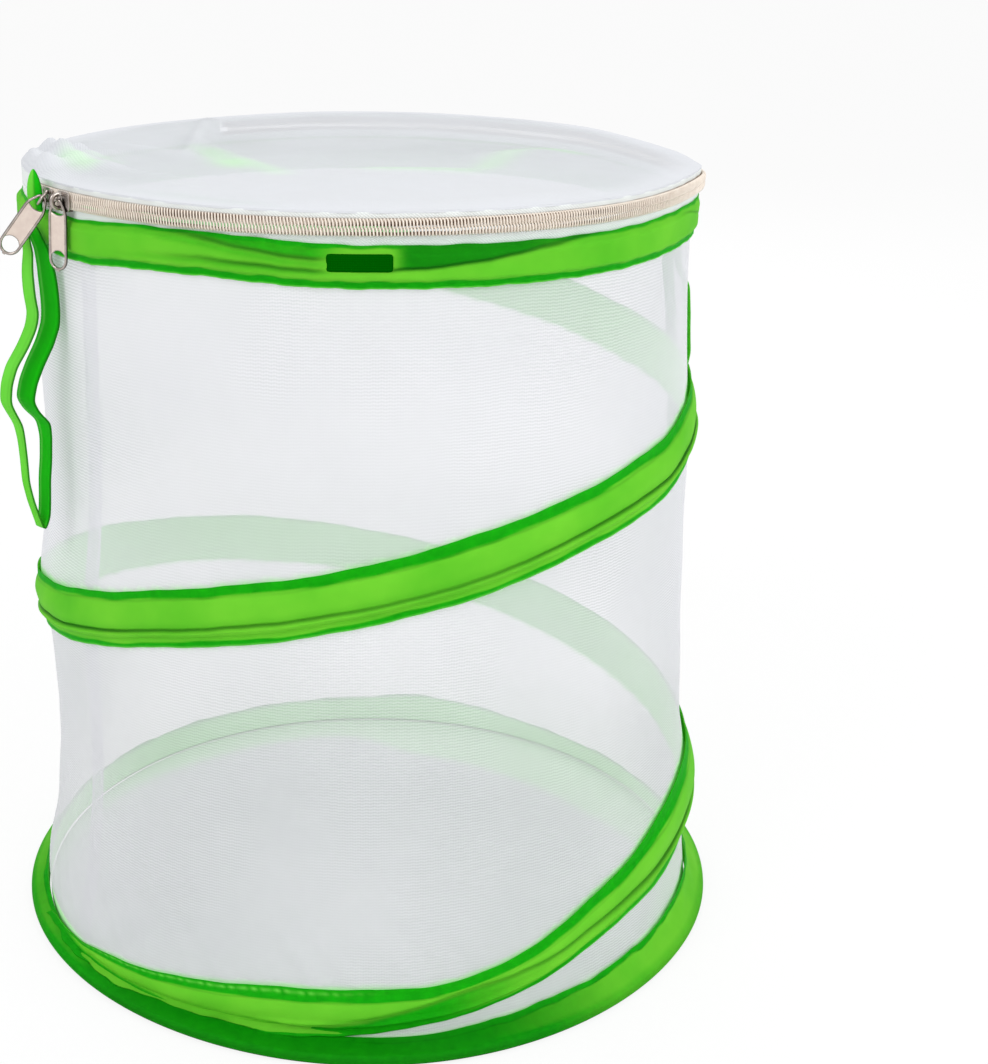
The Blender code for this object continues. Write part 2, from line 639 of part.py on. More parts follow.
def strap(name, angle, table):
    """A ribbon loop that hangs from its root: X is the way out from the wall, Y is down."""
    rows = np.array(table) * STRAP_LENGTH
    base = rows[0, 1]
    depth, inner, outer = rows[:, 0], rows[:, 1] - base, rows[:, 2] - base
    half = STRAP_THICKNESS / 2
    end = STRAP_LENGTH
    tip = (inner[-1] + outer[-1]) / 2
    ring = [(x, y) for x, y in zip(inner, depth)] + [(tip, end)]
    ring += [(x, y) for x, y in zip(outer[::-1], depth[::-1])] + [((inner[0] + outer[0]) / 2, 0.0)]
    line = np.array(ring)
    ahead, behind = np.roll(line, -1, axis=0), np.roll(line, 1, axis=0)
    along = ahead - behind
    along = along / np.linalg.norm(along, axis=1)[:, None]
    side = np.stack([-along[:, 1], along[:, 0]], axis=1)
    outlines = [line - side * half, line + side * half]
    made = flat_sheet(name, outlines, STRAP_WIDTH, green_cloth())
    out = outward(angle)
    down = Vector((0, 0, -1))
    frame = Matrix((out, down, out.cross(down))).transposed().to_4x4()
    made.matrix_world = Matrix.Translation(out * ROOT_RADIUS + Vector((0, 0, ROOT_Z))) @ frame


def root_fold():
    """The green fold of the left loop's root, which stands up beside the sliders."""
    face = SLIDER_FACE + GAP
    half = math.degrees(ROOT_FOLD_WIDTH / face) / 2
    profile = [(face, LID_UNDER - ROOT_FOLD_TUCK), (face, TOP_BAND_TOP + ROOT_FOLD_TUCK)]
    turned("strap_root_fold", profile, green_cloth(), ROOT_FOLD_THICKNESS,
           ROOT_FOLD_ANGLE - half, half + half)


floor_panel()
foot_band()
hoop("foot_hoop_wire", FOOT_HOOP_RADIUS, FOOT_HOOP_Z, FOOT_FERRULE_ANGLE)
ferrule("foot_hoop_ferrule", FOOT_HOOP_RADIUS, FOOT_HOOP_Z, FOOT_FERRULE_ANGLE)
netting_wall()
spiral_wire()
spiral_band()
top_band()
label()
hoop("top_hoop_wire", TOP_HOOP_RADIUS, TOP_HOOP_Z, TOP_FERRULE_ANGLE)
ferrule("top_hoop_ferrule", TOP_HOOP_RADIUS, TOP_HOOP_Z, TOP_FERRULE_ANGLE)
lid_pieces(*zip_pieces())
sliders()
strap("left_strap", LEFT_STRAP_ANGLE, LEFT_STRAP_SHARES)
strap("right_strap", RIGHT_STRAP_ANGLE, RIGHT_STRAP_SHARES)
root_fold()
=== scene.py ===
"""The looks of a pop-up insect cage: netting, green sleeves, zip, sliders and carrying loops.

Metres, +Z up. Angles round the cage are in degrees from +X towards +Y, so 270 is the front.
Tables are in millimetres and degrees, or in shares of a width where they say so.
"""
import math

import bpy
import numpy as np
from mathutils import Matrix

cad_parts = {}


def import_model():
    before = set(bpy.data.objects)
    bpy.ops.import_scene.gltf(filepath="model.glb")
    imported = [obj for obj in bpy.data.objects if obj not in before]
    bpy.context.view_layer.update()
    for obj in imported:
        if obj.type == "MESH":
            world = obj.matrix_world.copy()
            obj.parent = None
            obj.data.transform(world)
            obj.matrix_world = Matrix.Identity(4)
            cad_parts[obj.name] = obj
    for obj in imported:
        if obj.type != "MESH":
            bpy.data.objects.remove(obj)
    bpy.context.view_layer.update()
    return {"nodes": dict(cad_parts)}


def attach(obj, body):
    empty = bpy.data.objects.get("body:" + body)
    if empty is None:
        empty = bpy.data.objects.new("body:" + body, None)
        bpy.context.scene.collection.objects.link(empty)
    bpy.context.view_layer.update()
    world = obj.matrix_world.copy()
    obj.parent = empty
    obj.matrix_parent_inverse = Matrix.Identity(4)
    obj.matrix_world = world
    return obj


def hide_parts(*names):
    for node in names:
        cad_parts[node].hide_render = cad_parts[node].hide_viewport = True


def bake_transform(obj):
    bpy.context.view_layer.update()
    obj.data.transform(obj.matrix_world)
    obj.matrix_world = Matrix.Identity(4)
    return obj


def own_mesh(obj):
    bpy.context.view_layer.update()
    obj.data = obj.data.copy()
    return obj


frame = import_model()

WALL = 0.147                              # radius of the netting above its flare
TOP = 0.350                               # height of the lid's hinge line
HOOP_HEIGHT, ZIP_HEIGHT = 0.3295, 0.3440  # the top hoop's wire, the zip's middle
COIL_LOW, COIL_HIGH = 0.34255, 0.34545    # the middles of the zip's two coils
FOOT_HIGH, FOOT_SLOPE = 0.0047, 0.0066    # where the foot sleeve's slope ends, how far it leads
HINGE_ANGLE, HINGE_LINE = 162.5, 0.10897  # the hinge line's direction and distance
ZIP_START, ZIP_END = 205.0, 480.0
BACK_ROWS = 8                             # points across a sleeve's hidden layer
LIME_SEEN = (140, 236, 110)               # what light turns to inside the lime cloth
CAGE = bpy.data.collections.new("cage_looks")
bpy.context.scene.collection.children.link(CAGE)


# Arrays

def smooth(low, high, x):
    """0 below low, 1 above high, and an even S-curve between."""
    t = np.clip((x - low) / (high - low), 0.0, 1.0)
    return t * t * (3 - 2 * t)


def bell(x, middle, width):
    """1 at the middle, falling off as a Gaussian of that width."""
    return np.exp(-((x - middle) / width) ** 2)


def window(x, a, b, c, d):
    """1 from b to c, and 0 before a and after d."""
    return smooth(a, b, x) * (1 - smooth(c, d, x))


def arc(radius, angle):
    """The length round a radius over an angle in degrees."""
    return radius * np.radians(angle)


def waves(x, *parts):
    """The sum of sines: each part is its wave count per unit of x, its height and its phase."""
    return sum(height * np.sin(2 * np.pi * count * x + phase) for count, height, phase in parts)


def eased(x, table, period=None, blur=8.0, steps=9):
    """A table of (x, value...) rows read in straight lines, then averaged over +-blur."""
    rows = np.array(table, float)
    spread = np.linspace(-blur, blur, steps)
    weight = np.cos(spread / blur * 1.4)
    weight = weight / weight.sum()
    columns = [sum(w * np.interp(x + d, rows[:, 0], rows[:, k], period=period)
                   for w, d in zip(weight, spread)) for k in range(1, rows.shape[1])]
    return columns if len(columns) > 1 else columns[0]


def polar(radius, angle, z):
    """Points at a radius, an angle in degrees and a height, as an array with a last axis of 3."""
    radius, angle, z = np.broadcast_arrays(radius, angle, z)
    turn = np.radians(angle)
    return np.stack([radius * np.cos(turn), radius * np.sin(turn), z], -1)


def wall_radius(z):
    """The netting's radius: below 260 mm it flares out as the 2.4th power of depth."""
    depth = np.clip((0.260 - z) / 0.2535, 0.0, 1.04)
    return WALL + 0.0093 * depth ** 2.4


# A height, and how far out the right and the left side lie there.
SIDES = (
    (0, 0, 0.5), (8, 0, 1.2), (20, 0.3, 2.8), (30, 0.4, 1.6), (40, 0.6, 0.3), (50, 1.5, -0.8),
    (62, 3.3, -0.7), (75, 2.0, -1.2), (88, 0.4, -1.3), (105, 0.2, -0.9), (130, 0.6, 0.7),
    (150, 0.6, 2.2), (165, 0.6, 5.0), (180, 0.2, 3.6), (195, 0, 1.5), (215, -0.3, 0.3),
    (230, -0.8, 0), (250, -2.0, 0), (270, -3.5, 0), (300, -4.7, 0), (322, -5.5, 0),
    (334, -5.2, 0), (343, -4.0, 0), (360, -3.6, 0),
)
# An angle, and how far the rim rises there.
RIM = (
    (0, -4.2), (10, -3.6), (20, -3.4), (30, -2.4), (42, -0.4), (55, 0.2), (75, 1.3), (100, 2.0),
    (130, 1.0), (165, 0), (265, 0), (280, -0.2), (300, -0.6), (315, -0.9), (325, -0.8), (335, -0.5),
    (343, -1.0), (352, -2.6),
)


def settle(points):
    """Takes points on an evenly round cage to where the slack one stands: its right and left
    sides lie in or out by what SIDES says at each height, and its rim rises or droops by what RIM
    says at each angle, both in millimetres. The zip sags by 1.3 mm more at the front."""
    x, y, z = np.moveaxis(np.asarray(points, float), -1, 0)
    radius = np.maximum(np.hypot(x, y), 1e-6)
    right, left = (v / 1000 for v in eased(z * 1000, SIDES, blur=6.0, steps=5))
    share = np.clip(radius / WALL, 0, 1.1) ** 2
    out = share * (right * np.clip(x / radius, 0, 1) ** 2 + left * np.clip(-x / radius, 0, 1) ** 2)
    angle = np.mod(np.degrees(np.arctan2(y, x)), 360)
    droop = eased(angle, RIM, period=360, blur=5.0, steps=5) / 1000 * smooth(0.24, 0.335, z)
    droop = droop - 0.0013 * np.exp(-((angle - 280) / 44) ** 4) * smooth(0.3375, 0.342, z)
    droop = droop * share
    return np.stack([x * (1 + out / radius), y * (1 + out / radius), z + droop], -1)


def cage(radius, angle, z):
    """Points of the slack cage."""
    return settle(polar(radius, angle, z))


def along_path(path, lean, section, turning=False):
    """Carries a flat section along a path. Its first axis is the lean, made square to the path,
    and its second is the path's direction crossed with that axis."""
    if turning:
        ahead = np.roll(path, -1, 0) - np.roll(path, 1, 0)
    else:
        ahead = np.gradient(path, axis=0)
    ahead = ahead / np.linalg.norm(ahead, axis=1)[:, None]
    lean = np.broadcast_to(np.asarray(lean, float), path.shape)
    first = lean - ahead * (lean * ahead).sum(1)[:, None]
    first = first / np.linalg.norm(first, axis=1)[:, None]
    second = np.cross(ahead, first)
    section = np.asarray(section, float)
    return (path[:, None] + section[None, :, 0, None] * first[:, None]
            + section[None, :, 1, None] * second[:, None])


def circle(radius, count, squeeze=1.0):
    """A round or oval section."""
    turn = np.arange(count) * 2 * np.pi / count
    return np.stack([radius * np.cos(turn), squeeze * radius * np.sin(turn)], -1)


# Meshes

def surface(grids, name):
    """One mesh from grids of points. Each grid is a dict: points[i, j]; loop_i, loop_j where it
    closes on itself; flip to turn it over; ends to cap its first and last rows; uv, two arrays of
    lengths along i and across j; marks, values by name for each point."""
    corners, faces, spots, marks = [], [], [], {}
    start = 0
    for grid in grids:
        points = np.asarray(grid["points"], float)
        n, m = points.shape[:2]
        i, j = np.meshgrid(np.arange(n if grid.get("loop_i") else n - 1),
                           np.arange(m if grid.get("loop_j") else m - 1), indexing="ij")
        i, j = i.ravel(), j.ravel()
        steps = ((0, 0), (1, 0), (1, 1), (0, 1))
        if grid.get("flip"):
            steps = steps[::-1]
        quads = np.stack([((i + a) % n) * m + (j + b) % m for a, b in steps], -1) + start
        along, across = grid.get("uv") or (np.arange(n + 1) * 0.001, np.arange(m + 1) * 0.001)
        along, across = (np.append(a, 2 * a[-1] - a[-2]) if len(a) <= k else np.asarray(a)
                         for a, k in ((along, n), (across, m)))
        spots.append(np.stack([np.stack([along[i + a], across[j + b]], -1)
                               for a, b in steps], 1).reshape(-1, 2))
        faces += quads.tolist()
        if grid.get("ends"):
            rings = [start + np.arange(m)[::-1], start + (n - 1) * m + np.arange(m)]
            for ring in rings:
                faces.append((ring[::-1] if grid.get("flip") else ring).tolist())
                spots.append(np.zeros((m, 2)))
        corners.append(points.reshape(-1, 3))
        for key, value in grid.get("marks", {}).items():
            marks.setdefault(key, {})[start] = np.broadcast_to(value, (n, m)).ravel()
        start += n * m
    mesh = bpy.data.meshes.new(name)
    mesh.from_pydata(np.concatenate(corners).tolist(), [], faces)
    chart = mesh.uv_layers.new(name="chart")
    chart.data.foreach_set("uv", np.concatenate(spots).astype(np.float32).ravel())
    for key, parts in marks.items():
        values = np.zeros(start, np.float32)
        for first, value in parts.items():
            values[first:first + len(value)] = value
        mesh.attributes.new(key, "FLOAT", "POINT").data.foreach_set("value", values)
    mesh.shade_smooth()
    thing = bpy.data.objects.new(name, mesh)
    CAGE.objects.link(thing)
    return thing


def thicken(thing, thickness, offset=-1.0):
    """Gives a sheet its thickness, inwards from its face by default."""
    wall = thing.modifiers.new("cloth", "SOLIDIFY")
    wall.thickness = thickness
    wall.offset = offset
    wall.use_even_offset = False
    return thing


def dress(thing, body, slot, *nodes, look):
    """Gives a piece its finish, sets what it rides on and hides the CAD nodes that it stands for."""
    thing.data.materials.append(look)
    if body is not None:
        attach(thing, body)
    if nodes:
        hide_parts(*nodes)
    return thing


# Shader maths

class Value:
    """A shader socket that takes part in sums."""

    def __init__(self, look, socket):
        self.look, self.socket = look, socket

    def maths(self, operation, *rest):
        return self.look.node("ShaderNodeMath", {"operation": operation}, self, *rest)

    def __add__(self, other):
        return self.maths("ADD", other)

    def __sub__(self, other):
        return self.maths("SUBTRACT", other)

    def __rsub__(self, other):
        return self.look.node("ShaderNodeMath", {"operation": "SUBTRACT"}, other, self)

    def __mul__(self, other):
        return self.maths("MULTIPLY", other)

    __radd__, __rmul__ = __add__, __mul__

    def swinging(self):
        """Its sine, brought to between 0 and 1."""
        return self.maths("SINE") * 0.5 + 0.5

    def ribs(self, pitch):
        return (self * (2 * math.pi / pitch)).swinging()

    def clipped(self):
        return self.look.node("ShaderNodeMath", {"operation": "ADD", "use_clamp": True}, self, 0.0)

    def between(self, low, high, to_low=0.0, to_high=1.0):
        return self.look.node("ShaderNodeMapRange", {"interpolation_type": "SMOOTHSTEP"},
                              self, low, high, to_low, to_high)


class Look:
    """The node tree of a material, or of the world."""

    def __init__(self, name, world=False):
        self.owner = (bpy.data.worlds if world else bpy.data.materials).new(name)
        self.owner.use_nodes = True
        self.tree = self.owner.node_tree
        self.shader = self.tree.nodes["Background" if world else "Principled BSDF"]
        self.output = self.tree.nodes["World Output" if world else "Material Output"].inputs[0]

    def node(self, kind, settings=None, *inputs, out=0, **named):
        """Adds a node; sockets are fed in order, or by name."""
        made = self.tree.nodes.new(kind)
        for key, value in (settings or {}).items():
            setattr(made, key, value)
        pairs = list(zip(made.inputs, inputs)) + [(made.inputs[k], v) for k, v in named.items()]
        for socket, value in pairs:
            self.feed(socket, value)
        return Value(self, made.outputs[out])

    def feed(self, socket, value):
        if isinstance(value, Value):
            self.tree.links.new(value.socket, socket)
        elif isinstance(value, tuple) and socket.type == "RGBA":
            socket.default_value = (*value, 1.0)
        else:
            socket.default_value = value

    def set(self, **sockets):
        for name, value in sockets.items():
            self.feed(self.shader.inputs[name.replace("_", " ")], value)

    def chart(self):
        """The piece's own lengths: along and across, in metres."""
        split = self.node("ShaderNodeSeparateXYZ", None,
                          self.node("ShaderNodeUVMap", {"uv_map": "chart"})).socket.node
        return Value(self, split.outputs[0]), Value(self, split.outputs[1])

    def mark(self, name):
        """What a piece says at each point under that name; 0 where it says nothing."""
        return self.node("ShaderNodeAttribute", {"attribute_name": name}, out=2)

    def noise(self, scale, detail=2.0, roughness=0.5):
        where = self.node("ShaderNodeTexCoord", None, out=3)
        return self.node("ShaderNodeTexNoise", None, Vector=where, Scale=scale, Detail=detail,
                         Roughness=roughness)

    def mix(self, low, high, share):
        """A colour mix; the low colour where the share is 0. Colours are as on a screen."""
        made = self.tree.nodes.new("ShaderNodeMix")
        made.data_type = "RGBA"
        self.feed(made.inputs[0], share)
        for socket, colour in ((made.inputs[6], low), (made.inputs[7], high)):
            self.feed(socket, screen(*colour) if isinstance(colour, tuple) else colour)
        return Value(self, made.outputs[2])

    def bump(self, height, strength, distance=0.0002):
        return self.node("ShaderNodeBump", None, Height=height, Strength=strength, Distance=distance)

    def rays(self, one, other):
        """1 for rays of either kind."""
        kinds = self.node("ShaderNodeLightPath").socket.node.outputs
        return Value(self, kinds[one]).maths("MAXIMUM", Value(self, kinds[other]))

    def share_with(self, other, share):
        """Lets another shader stand for a share of the first one."""
        own = Value(self, self.shader.outputs[0])
        self.feed(self.output, self.node("ShaderNodeMixShader", None, share, own, other))


def screen(red, green, blue):
    """A colour as it shows on a screen, 0 to 255, made linear."""
    parts = [c / 255 for c in (red, green, blue)]
    return tuple(c / 12.92 if c <= 0.04045 else ((c + 0.055) / 1.055) ** 2.4 for c in parts)


def netting(name, cover, swing, white=(242, 241, 246), pitch=0.0013):
    """Fine knitted netting: wavy courses at a pitch, each a thicker and a thinner line of yarn.
    `cover` is the share of light it stops, `swing` how far the courses vary it. A `veil` mark
    makes it denser, `low` greyer as painted shade, `tint` greener."""
    look = Look(name)
    along, across = look.chart()
    drift = look.noise(24.0)
    zigzag = (along * (2 * math.pi / (pitch * 2.4))).maths("SINE") * 0.09
    course = (across * (1 / pitch) + zigzag + drift * 3.0).ribs(1.0)
    wale = (along * (2 * math.pi / (pitch * 0.8)) + drift * 9.0).swinging()
    cloud = look.noise(38.0, 3.0, 0.6)
    patch = look.noise(11.0).between(0.40, 0.62, 0.15, 1.25)
    yarn = (course * 0.8 + wale * 0.2 - 0.5) * patch + 0.5
    density = cover + (yarn - 0.5) * swing + (cloud - 0.5) * 0.10 + look.mark("veil")
    shade = ((1.0 - yarn) * 0.30 + cloud * 0.35).clipped()
    colour = look.mix(white, (210, 213, 219), shade)
    colour = look.mix(colour, (218, 219, 222), look.mark("low"))
    colour = look.mix(colour, (204, 255, 196), look.mark("tint"))
    look.set(Base_Color=colour, Roughness=0.85, Alpha=density.clipped(),
             Normal=look.bump(yarn, 0.25), Specular_IOR_Level=0.2)
    return look.owner


def sleeve_cloth(name, light=(128, 224, 56), deep=(2, 160, 4), dark=(0, 84, 2),
                 lime=(132, 240, 96)):
    """Lime green woven cloth that lets some light through. Marks on the piece say where it is
    hemmed and where painted shade falls on it (deep), where painted shade lies in its creases and
    folds (dark) and where its cut edge catches the light, a painted highlight (lime)."""
    look = Look(name)
    along, across = look.chart()
    cloud = look.noise(30.0, 3.0, 0.55)
    fine = look.noise(260.0, 2.0, 0.6)
    weave, cross = (along + across).ribs(0.0007), (along - across).ribs(0.0007)
    body = look.mix(light, (98, 206, 42), (cloud * 2.2 - 0.75).clipped())
    hem = look.mix(deep, (20, 190, 10), (fine * 1.6 - 0.5).clipped())
    # The deep green is the hems' own colour and also painted shade; the dark one is painted shade.
    colour = look.mix(body, hem, look.mark("hem"))
    colour = look.mix(colour, dark, look.mark("crease"))
    colour = look.mix(colour, lime, look.mark("edge"))
    look.set(Base_Color=colour, Roughness=0.62, Specular_IOR_Level=0.08,
             Normal=look.bump(weave * 0.5 + cross * 0.5 + fine * 0.5, 0.12))
    look.share_with(look.node("ShaderNodeBsdfTranslucent", None, screen(*LIME_SEEN)), 0.30)
    return look.owner


def tape_cloth(name):
    """Zip tape: a dense twill with fine slanted ribs, a trace of the green beside it and, behind
    the coils, their shade."""
    look = Look(name)
    along, across = look.chart()
    twill, warp = (along * 0.8 + across).ribs(0.0011), across.ribs(0.0006)
    cloud = look.noise(60.0)
    colour = look.mix((240, 243, 242), (206, 224, 214), look.mark("green"))
    colour = look.mix(colour, (204, 212, 210), ((1.0 - twill) * 0.5 + cloud * 0.2).clipped())
    colour = look.mix(colour, (138, 116, 100), look.mark("coil"))
    look.set(Base_Color=colour, Roughness=0.8, Normal=look.bump(twill * 0.7 + warp * 0.3, 0.5),
             Specular_IOR_Level=0.2)
    return look.owner


def coil_plastic():
    look = Look("zip_coil_nylon")
    look.set(Base_Color=look.mix((248, 240, 228), (226, 210, 196), look.noise(240.0)),
             Roughness=0.38)
    return look.owner


def nickel(name, bright, dull, roughness):
    """Plated metal with faint clouding, fine scuffs and, where a `shade` mark says, painted dark
    reflections.
    """
    look = Look(name)
    cloud = look.noise(320.0, 3.0, 0.6)
    scuff = look.noise(1400.0, 2.0, 0.7)
    colour = look.mix(bright, dull, (cloud * 1.4 - 0.2).clipped())
    colour = look.mix(colour, (44, 38, 34), look.mark("shade"))
    look.set(Base_Color=colour, Metallic=1.0, Roughness=scuff * 0.14 + roughness,
             Normal=look.bump(scuff, 0.05, 0.0001))
    return look.owner


def label_cloth():
    look = Look("label_weave")
    along, across = look.chart()
    rib, row = along.ribs(0.0006), across.ribs(0.0008)
    look.set(Base_Color=look.mix((0, 76, 0), (0, 94, 4), rib * row), Roughness=0.8,
             Normal=look.bump(rib + row, 0.2), Specular_IOR_Level=0.0)
    return look.owner


NET = netting("wall_netting", 0.50, 0.14)
LID_NET = netting("lid_netting", 0.80, 0.08, (215, 217, 221), 0.0011)
FLOOR_NET = netting("floor_weave", 0.97, 0.04, (238, 238, 241), 0.0009)
GREEN = sleeve_cloth("lime_sleeve")
RIBBON = sleeve_cloth("lime_ribbon", (128, 234, 80), (4, 196, 6), (0, 92, 6), (170, 240, 140))
TAPE = tape_cloth("zip_tape")
COIL = coil_plastic()
NICKEL = nickel("polished_nickel", (216, 206, 198), (150, 140, 134), 0.16)
PLATE = nickel("satin_plate", (246, 232, 220), (228, 210, 200), 0.42)
STEEL = nickel("spring_steel", (196, 198, 202), (150, 152, 156), 0.28)
LABEL = label_cloth()


# Spiral sleeve

SPIRAL_START = 195.0
# An angle of descent, and the heights of the sleeve's upper and lower edges there.
SPIRAL = (
    (0, 320.2, 319.1), (30, 319.9, 308.0), (52, 319.9, 295.4), (75, 309.0, 282.5),
    (105, 294.1, 268.1), (135, 279.0, 253.0), (165, 266.7, 240.1), (195, 258.0, 230.2),
    (212, 252.4, 224.4), (225, 244.4, 218.4), (240, 239.2, 213.0), (255, 231.2, 205.4),
    (285, 213.4, 187.6), (315, 196.0, 171.3), (345, 177.2, 153.0), (375, 163.4, 137.0),
    (405, 151.6, 126.2), (435, 137.3, 111.9), (465, 122.1, 96.4), (495, 106.0, 78.2),
    (525, 92.5, 61.5), (555, 81.5, 48.0), (570, 79.0, 42.4), (580, 76.0, 38.4), (587, 71.6, 35.8),
    (592, 66.4, 34.2), (598, 59.0, 32.2), (604, 53.6, 29.0), (613, 42.4, 22.5), (624, 32.3, 15.8),
    (634, 28.2, 10.8), (641, 28.0, 8.2), (648, 27.9, 6.7), (656, 26.9, 6.3), (662, 26.1, 6.2),
    (672, 22.6, 6.0), (682, 18.4, 5.8), (688, 15.9, 5.7), (694, 13.2, 5.6), (701, 8.4, 5.4),
    (707, 6.6, 5.2), (714, 5.6, 4.9),
)
# An angle of descent, and the shares of the sleeve's width where its crease and its upper hem lie.
CREASE = (
    (0, -0.345), (590, -0.345), (612, -0.15), (624, 0.22), (631, 0.38), (636, 0.15), (640, -0.08),
    (645, -0.29), (650, -0.43), (656, -0.66), (661, -0.82), (666, -1.0), (692, -1.05),
    (698, -0.88), (704, -0.30), (714, 0.80),
)
UPPER_HEM = (
    (0, 0.60), (250, 0.60), (300, 0.64), (340, 0.72), (375, 0.64), (560, 0.58), (600, 0.48),
    (714, 0.46),
)


def spiral_edges(down):
    """The sleeve's upper and lower edges after an angle of descent, in metres."""
    high, low = eased(down, SPIRAL, blur=5.0)
    length = arc(WALL, down)
    high = high / 1000 + waves(length, (9, 0.0003, 0.4), (23, 0.0002, 2.0), (61, 0.00008, 1.0))
    low = low / 1000 + waves(length, (11, 0.0003, 1.4), (27, 0.00016, 0.3), (71, 0.00008, 2.2))
    high = np.minimum(high, 0.3203)
    return np.maximum(high, low + 0.0006), low


def foot_hem(angle):
    """The height at which the foot sleeve leaves the netting."""
    return 0.0105 + eased(angle, FOOT_RISE, period=360, blur=6.0) / 1000


def skin_radius(z, angle):
    """What the spiral lies on: the netting, and below its hem the foot sleeve's slope."""
    hem = foot_hem(angle)
    depth = np.clip((hem - z) / np.maximum(hem - FOOT_HIGH, 0.0006), 0, 1)
    return (wall_radius(z) + FOOT_SLOPE * depth ** 1.5
            + 0.0013 * (1 - smooth(hem - 0.0002, hem + 0.0012, z)))


def with_back(marks, count):
    """Marks of a sleeve's face, and beside them those of the plain layer behind it."""
    return {key: np.concatenate([value, np.full((count, BACK_ROWS), 0.15 * (key == "hem"))], 1)
            for key, value in marks.items()}


def spiral_sleeve():
    """A flat tube of cloth. Across its face the share s runs from -1, the lower edge, to 1. Both
    hems lie on the netting, the middle stands off it as a low arch, and the wire inside raises a
    round ridge at s = -0.47 with a sharp crease just above it. The crease climbs to the upper hem
    at the front left, where the sleeve's lower part, painted in shade, laps over the foot sleeve."""
    down = np.linspace(0, SPIRAL[-1][0], 940)[:, None]
    angle, length = SPIRAL_START - down, arc(WALL, down)
    s = np.concatenate([np.linspace(-1, -0.7, 8), np.linspace(-0.66, -0.2, 18),
                        np.linspace(-0.14, 0.55, 14), np.linspace(0.6, 1, 8)])
    high, low = spiral_edges(down)
    middle, half = (high + low) / 2, (high - low) / 2
    full = np.clip(half / 0.0065, 0, 1)
    tail = smooth(646, 668, down)
    drift = waves(length, (3.1, 0.02, 0.0), (7.3, 0.02, 1.1))
    fold = eased(down, CREASE, blur=5.0) - drift
    z = middle + half * s
    arch = np.clip(1 - ((s - 0.02) / 0.66) ** 2, 0, 1) ** 0.8
    ridge = bell(s, -0.47, 0.12) * (1 - tail)
    crease = bell(s, fold, 0.055 + 0.05 * smooth(560, 630, down))
    slack = waves(length + s * 0.02, (14, 0.0002, 0.3), (33, 0.00012, 1.7))
    off = 0.0007 + full * (0.0020 * arch + 0.0017 * ridge - 0.0009 * crease + slack * arch)
    off = np.where(ridge > 0.35, np.maximum(off, 0.0006 + full * 0.0020), off)
    face = cage(skin_radius(z, angle) + off, angle, z)
    back_z = middle + half * np.linspace(0.97, -0.97, BACK_ROWS)
    back = cage(skin_radius(back_z, angle) + 0.0003, angle, back_z)
    start = eased(down, UPPER_HEM, blur=5.0)
    wander = waves(length, (19, 0.02, 0.6), (43, 0.012, 0.1))
    upper = smooth(start, start + 0.06, s + drift + wander)
    lower = 1 - smooth(-0.84, -0.78, s + waves(length, (13, 0.03, 2.6), (37, 0.015, 0.9)))
    hem = foot_hem(angle)
    # Painted shade on the lower part below the crease at the front left, and where it laps over the
    # foot sleeve.
    below = np.maximum((1 - smooth(fold - 0.10, fold + 0.02, s)) * smooth(612, 636, down),
                       (1 - smooth(hem + 0.0002, hem + 0.0012, z)) * smooth(640, 650, down))
    deep = np.maximum(np.maximum(upper, lower * (1 - tail)), below)
    shaded = (0.16 * bell(s, fold + 0.12, 0.12) + 0.10 * bell(s, -0.62, 0.06)) * full
    strength = 0.80 + waves(length, (2.3, 0.18, 0.5))
    stitches = bell(s, 0.80, 0.07) * smooth(640, 660, down) * (
        0.5 + waves(length, (210, 0.5, 0.0)))
    # hem: the hems and painted shade; crease: painted shade along the crease and under the upper
    # hem; edge: a painted highlight on the lower edge, and the lime stitches.
    marks = {
        "hem": np.clip(deep * 0.96 + shaded + 0.03 - 0.35 * stitches, 0, 1),
        "crease": np.clip(crease * strength * full * (1 - 0.35 * smooth(600, 650, down))
                          + 0.30 * bell(s, start - 0.01, 0.03) * full, 0, 1),
        "edge": (1 - smooth(-0.985, -0.94, s)) * (1 - smooth(600, 630, down)) * 0.9
                + 0.8 * stitches,
    }
    across = np.concatenate([s * 0.013, 0.013 + 0.0035 * np.arange(1, BACK_ROWS + 2)])
    grid = {"points": np.concatenate([face, back], 1), "marks": with_back(marks, len(down)),
            "loop_j": True, "uv": (length[:, 0], across)}
    piece = surface([grid], "spiral_sleeve")
    dress(piece, "base", "green", "spiral_band", look=GREEN)
    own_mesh(piece)
    at, ridge_row = slice(56, 858), 15
    z, angle = z[at, ridge_row], angle[at, 0]
    path = cage(skin_radius(z, angle) + 0.0013, angle, z)
    spring = surface([{"points": along_path(path, (0.0, 0.0, 1.0), circle(0.0008, 8)),
                       "loop_j": True, "ends": True}], "spiral_spring")
    dress(spring, "base", "wire", "spiral_wire", look=STEEL)
    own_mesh(spring)


# Netting tube and seam

def spiral_passes(angle, last):
    """The spiral's upper and lower edges where its two turns pass an angle."""
    down = np.mod(SPIRAL_START - angle, 360.0)
    return [spiral_edges(np.minimum(down + turn, last)) for turn in (0.0, 360.0)]


def slack_of(angle, z):
    """How far the netting hangs in between its supports, the hoops and the spiral: up to 1.4 mm,
    most midway."""
    passes = [(high + low) / 2 for high, low in spiral_passes(angle, 690.0)]
    stops = np.stack([np.full(z.shape, 0.330), *passes, np.full(z.shape, 0.006)])
    stops = -np.sort(-stops, axis=0)
    drop = np.zeros_like(z)
    for high, low in zip(stops, stops[1:]):
        span = np.maximum(high - low, 0.001)
        t = np.clip((z - low) / span, 0, 1)
        drop = drop + 4 * t * (1 - t) * np.clip(span / 0.16, 0, 1) * 0.0014
    return drop


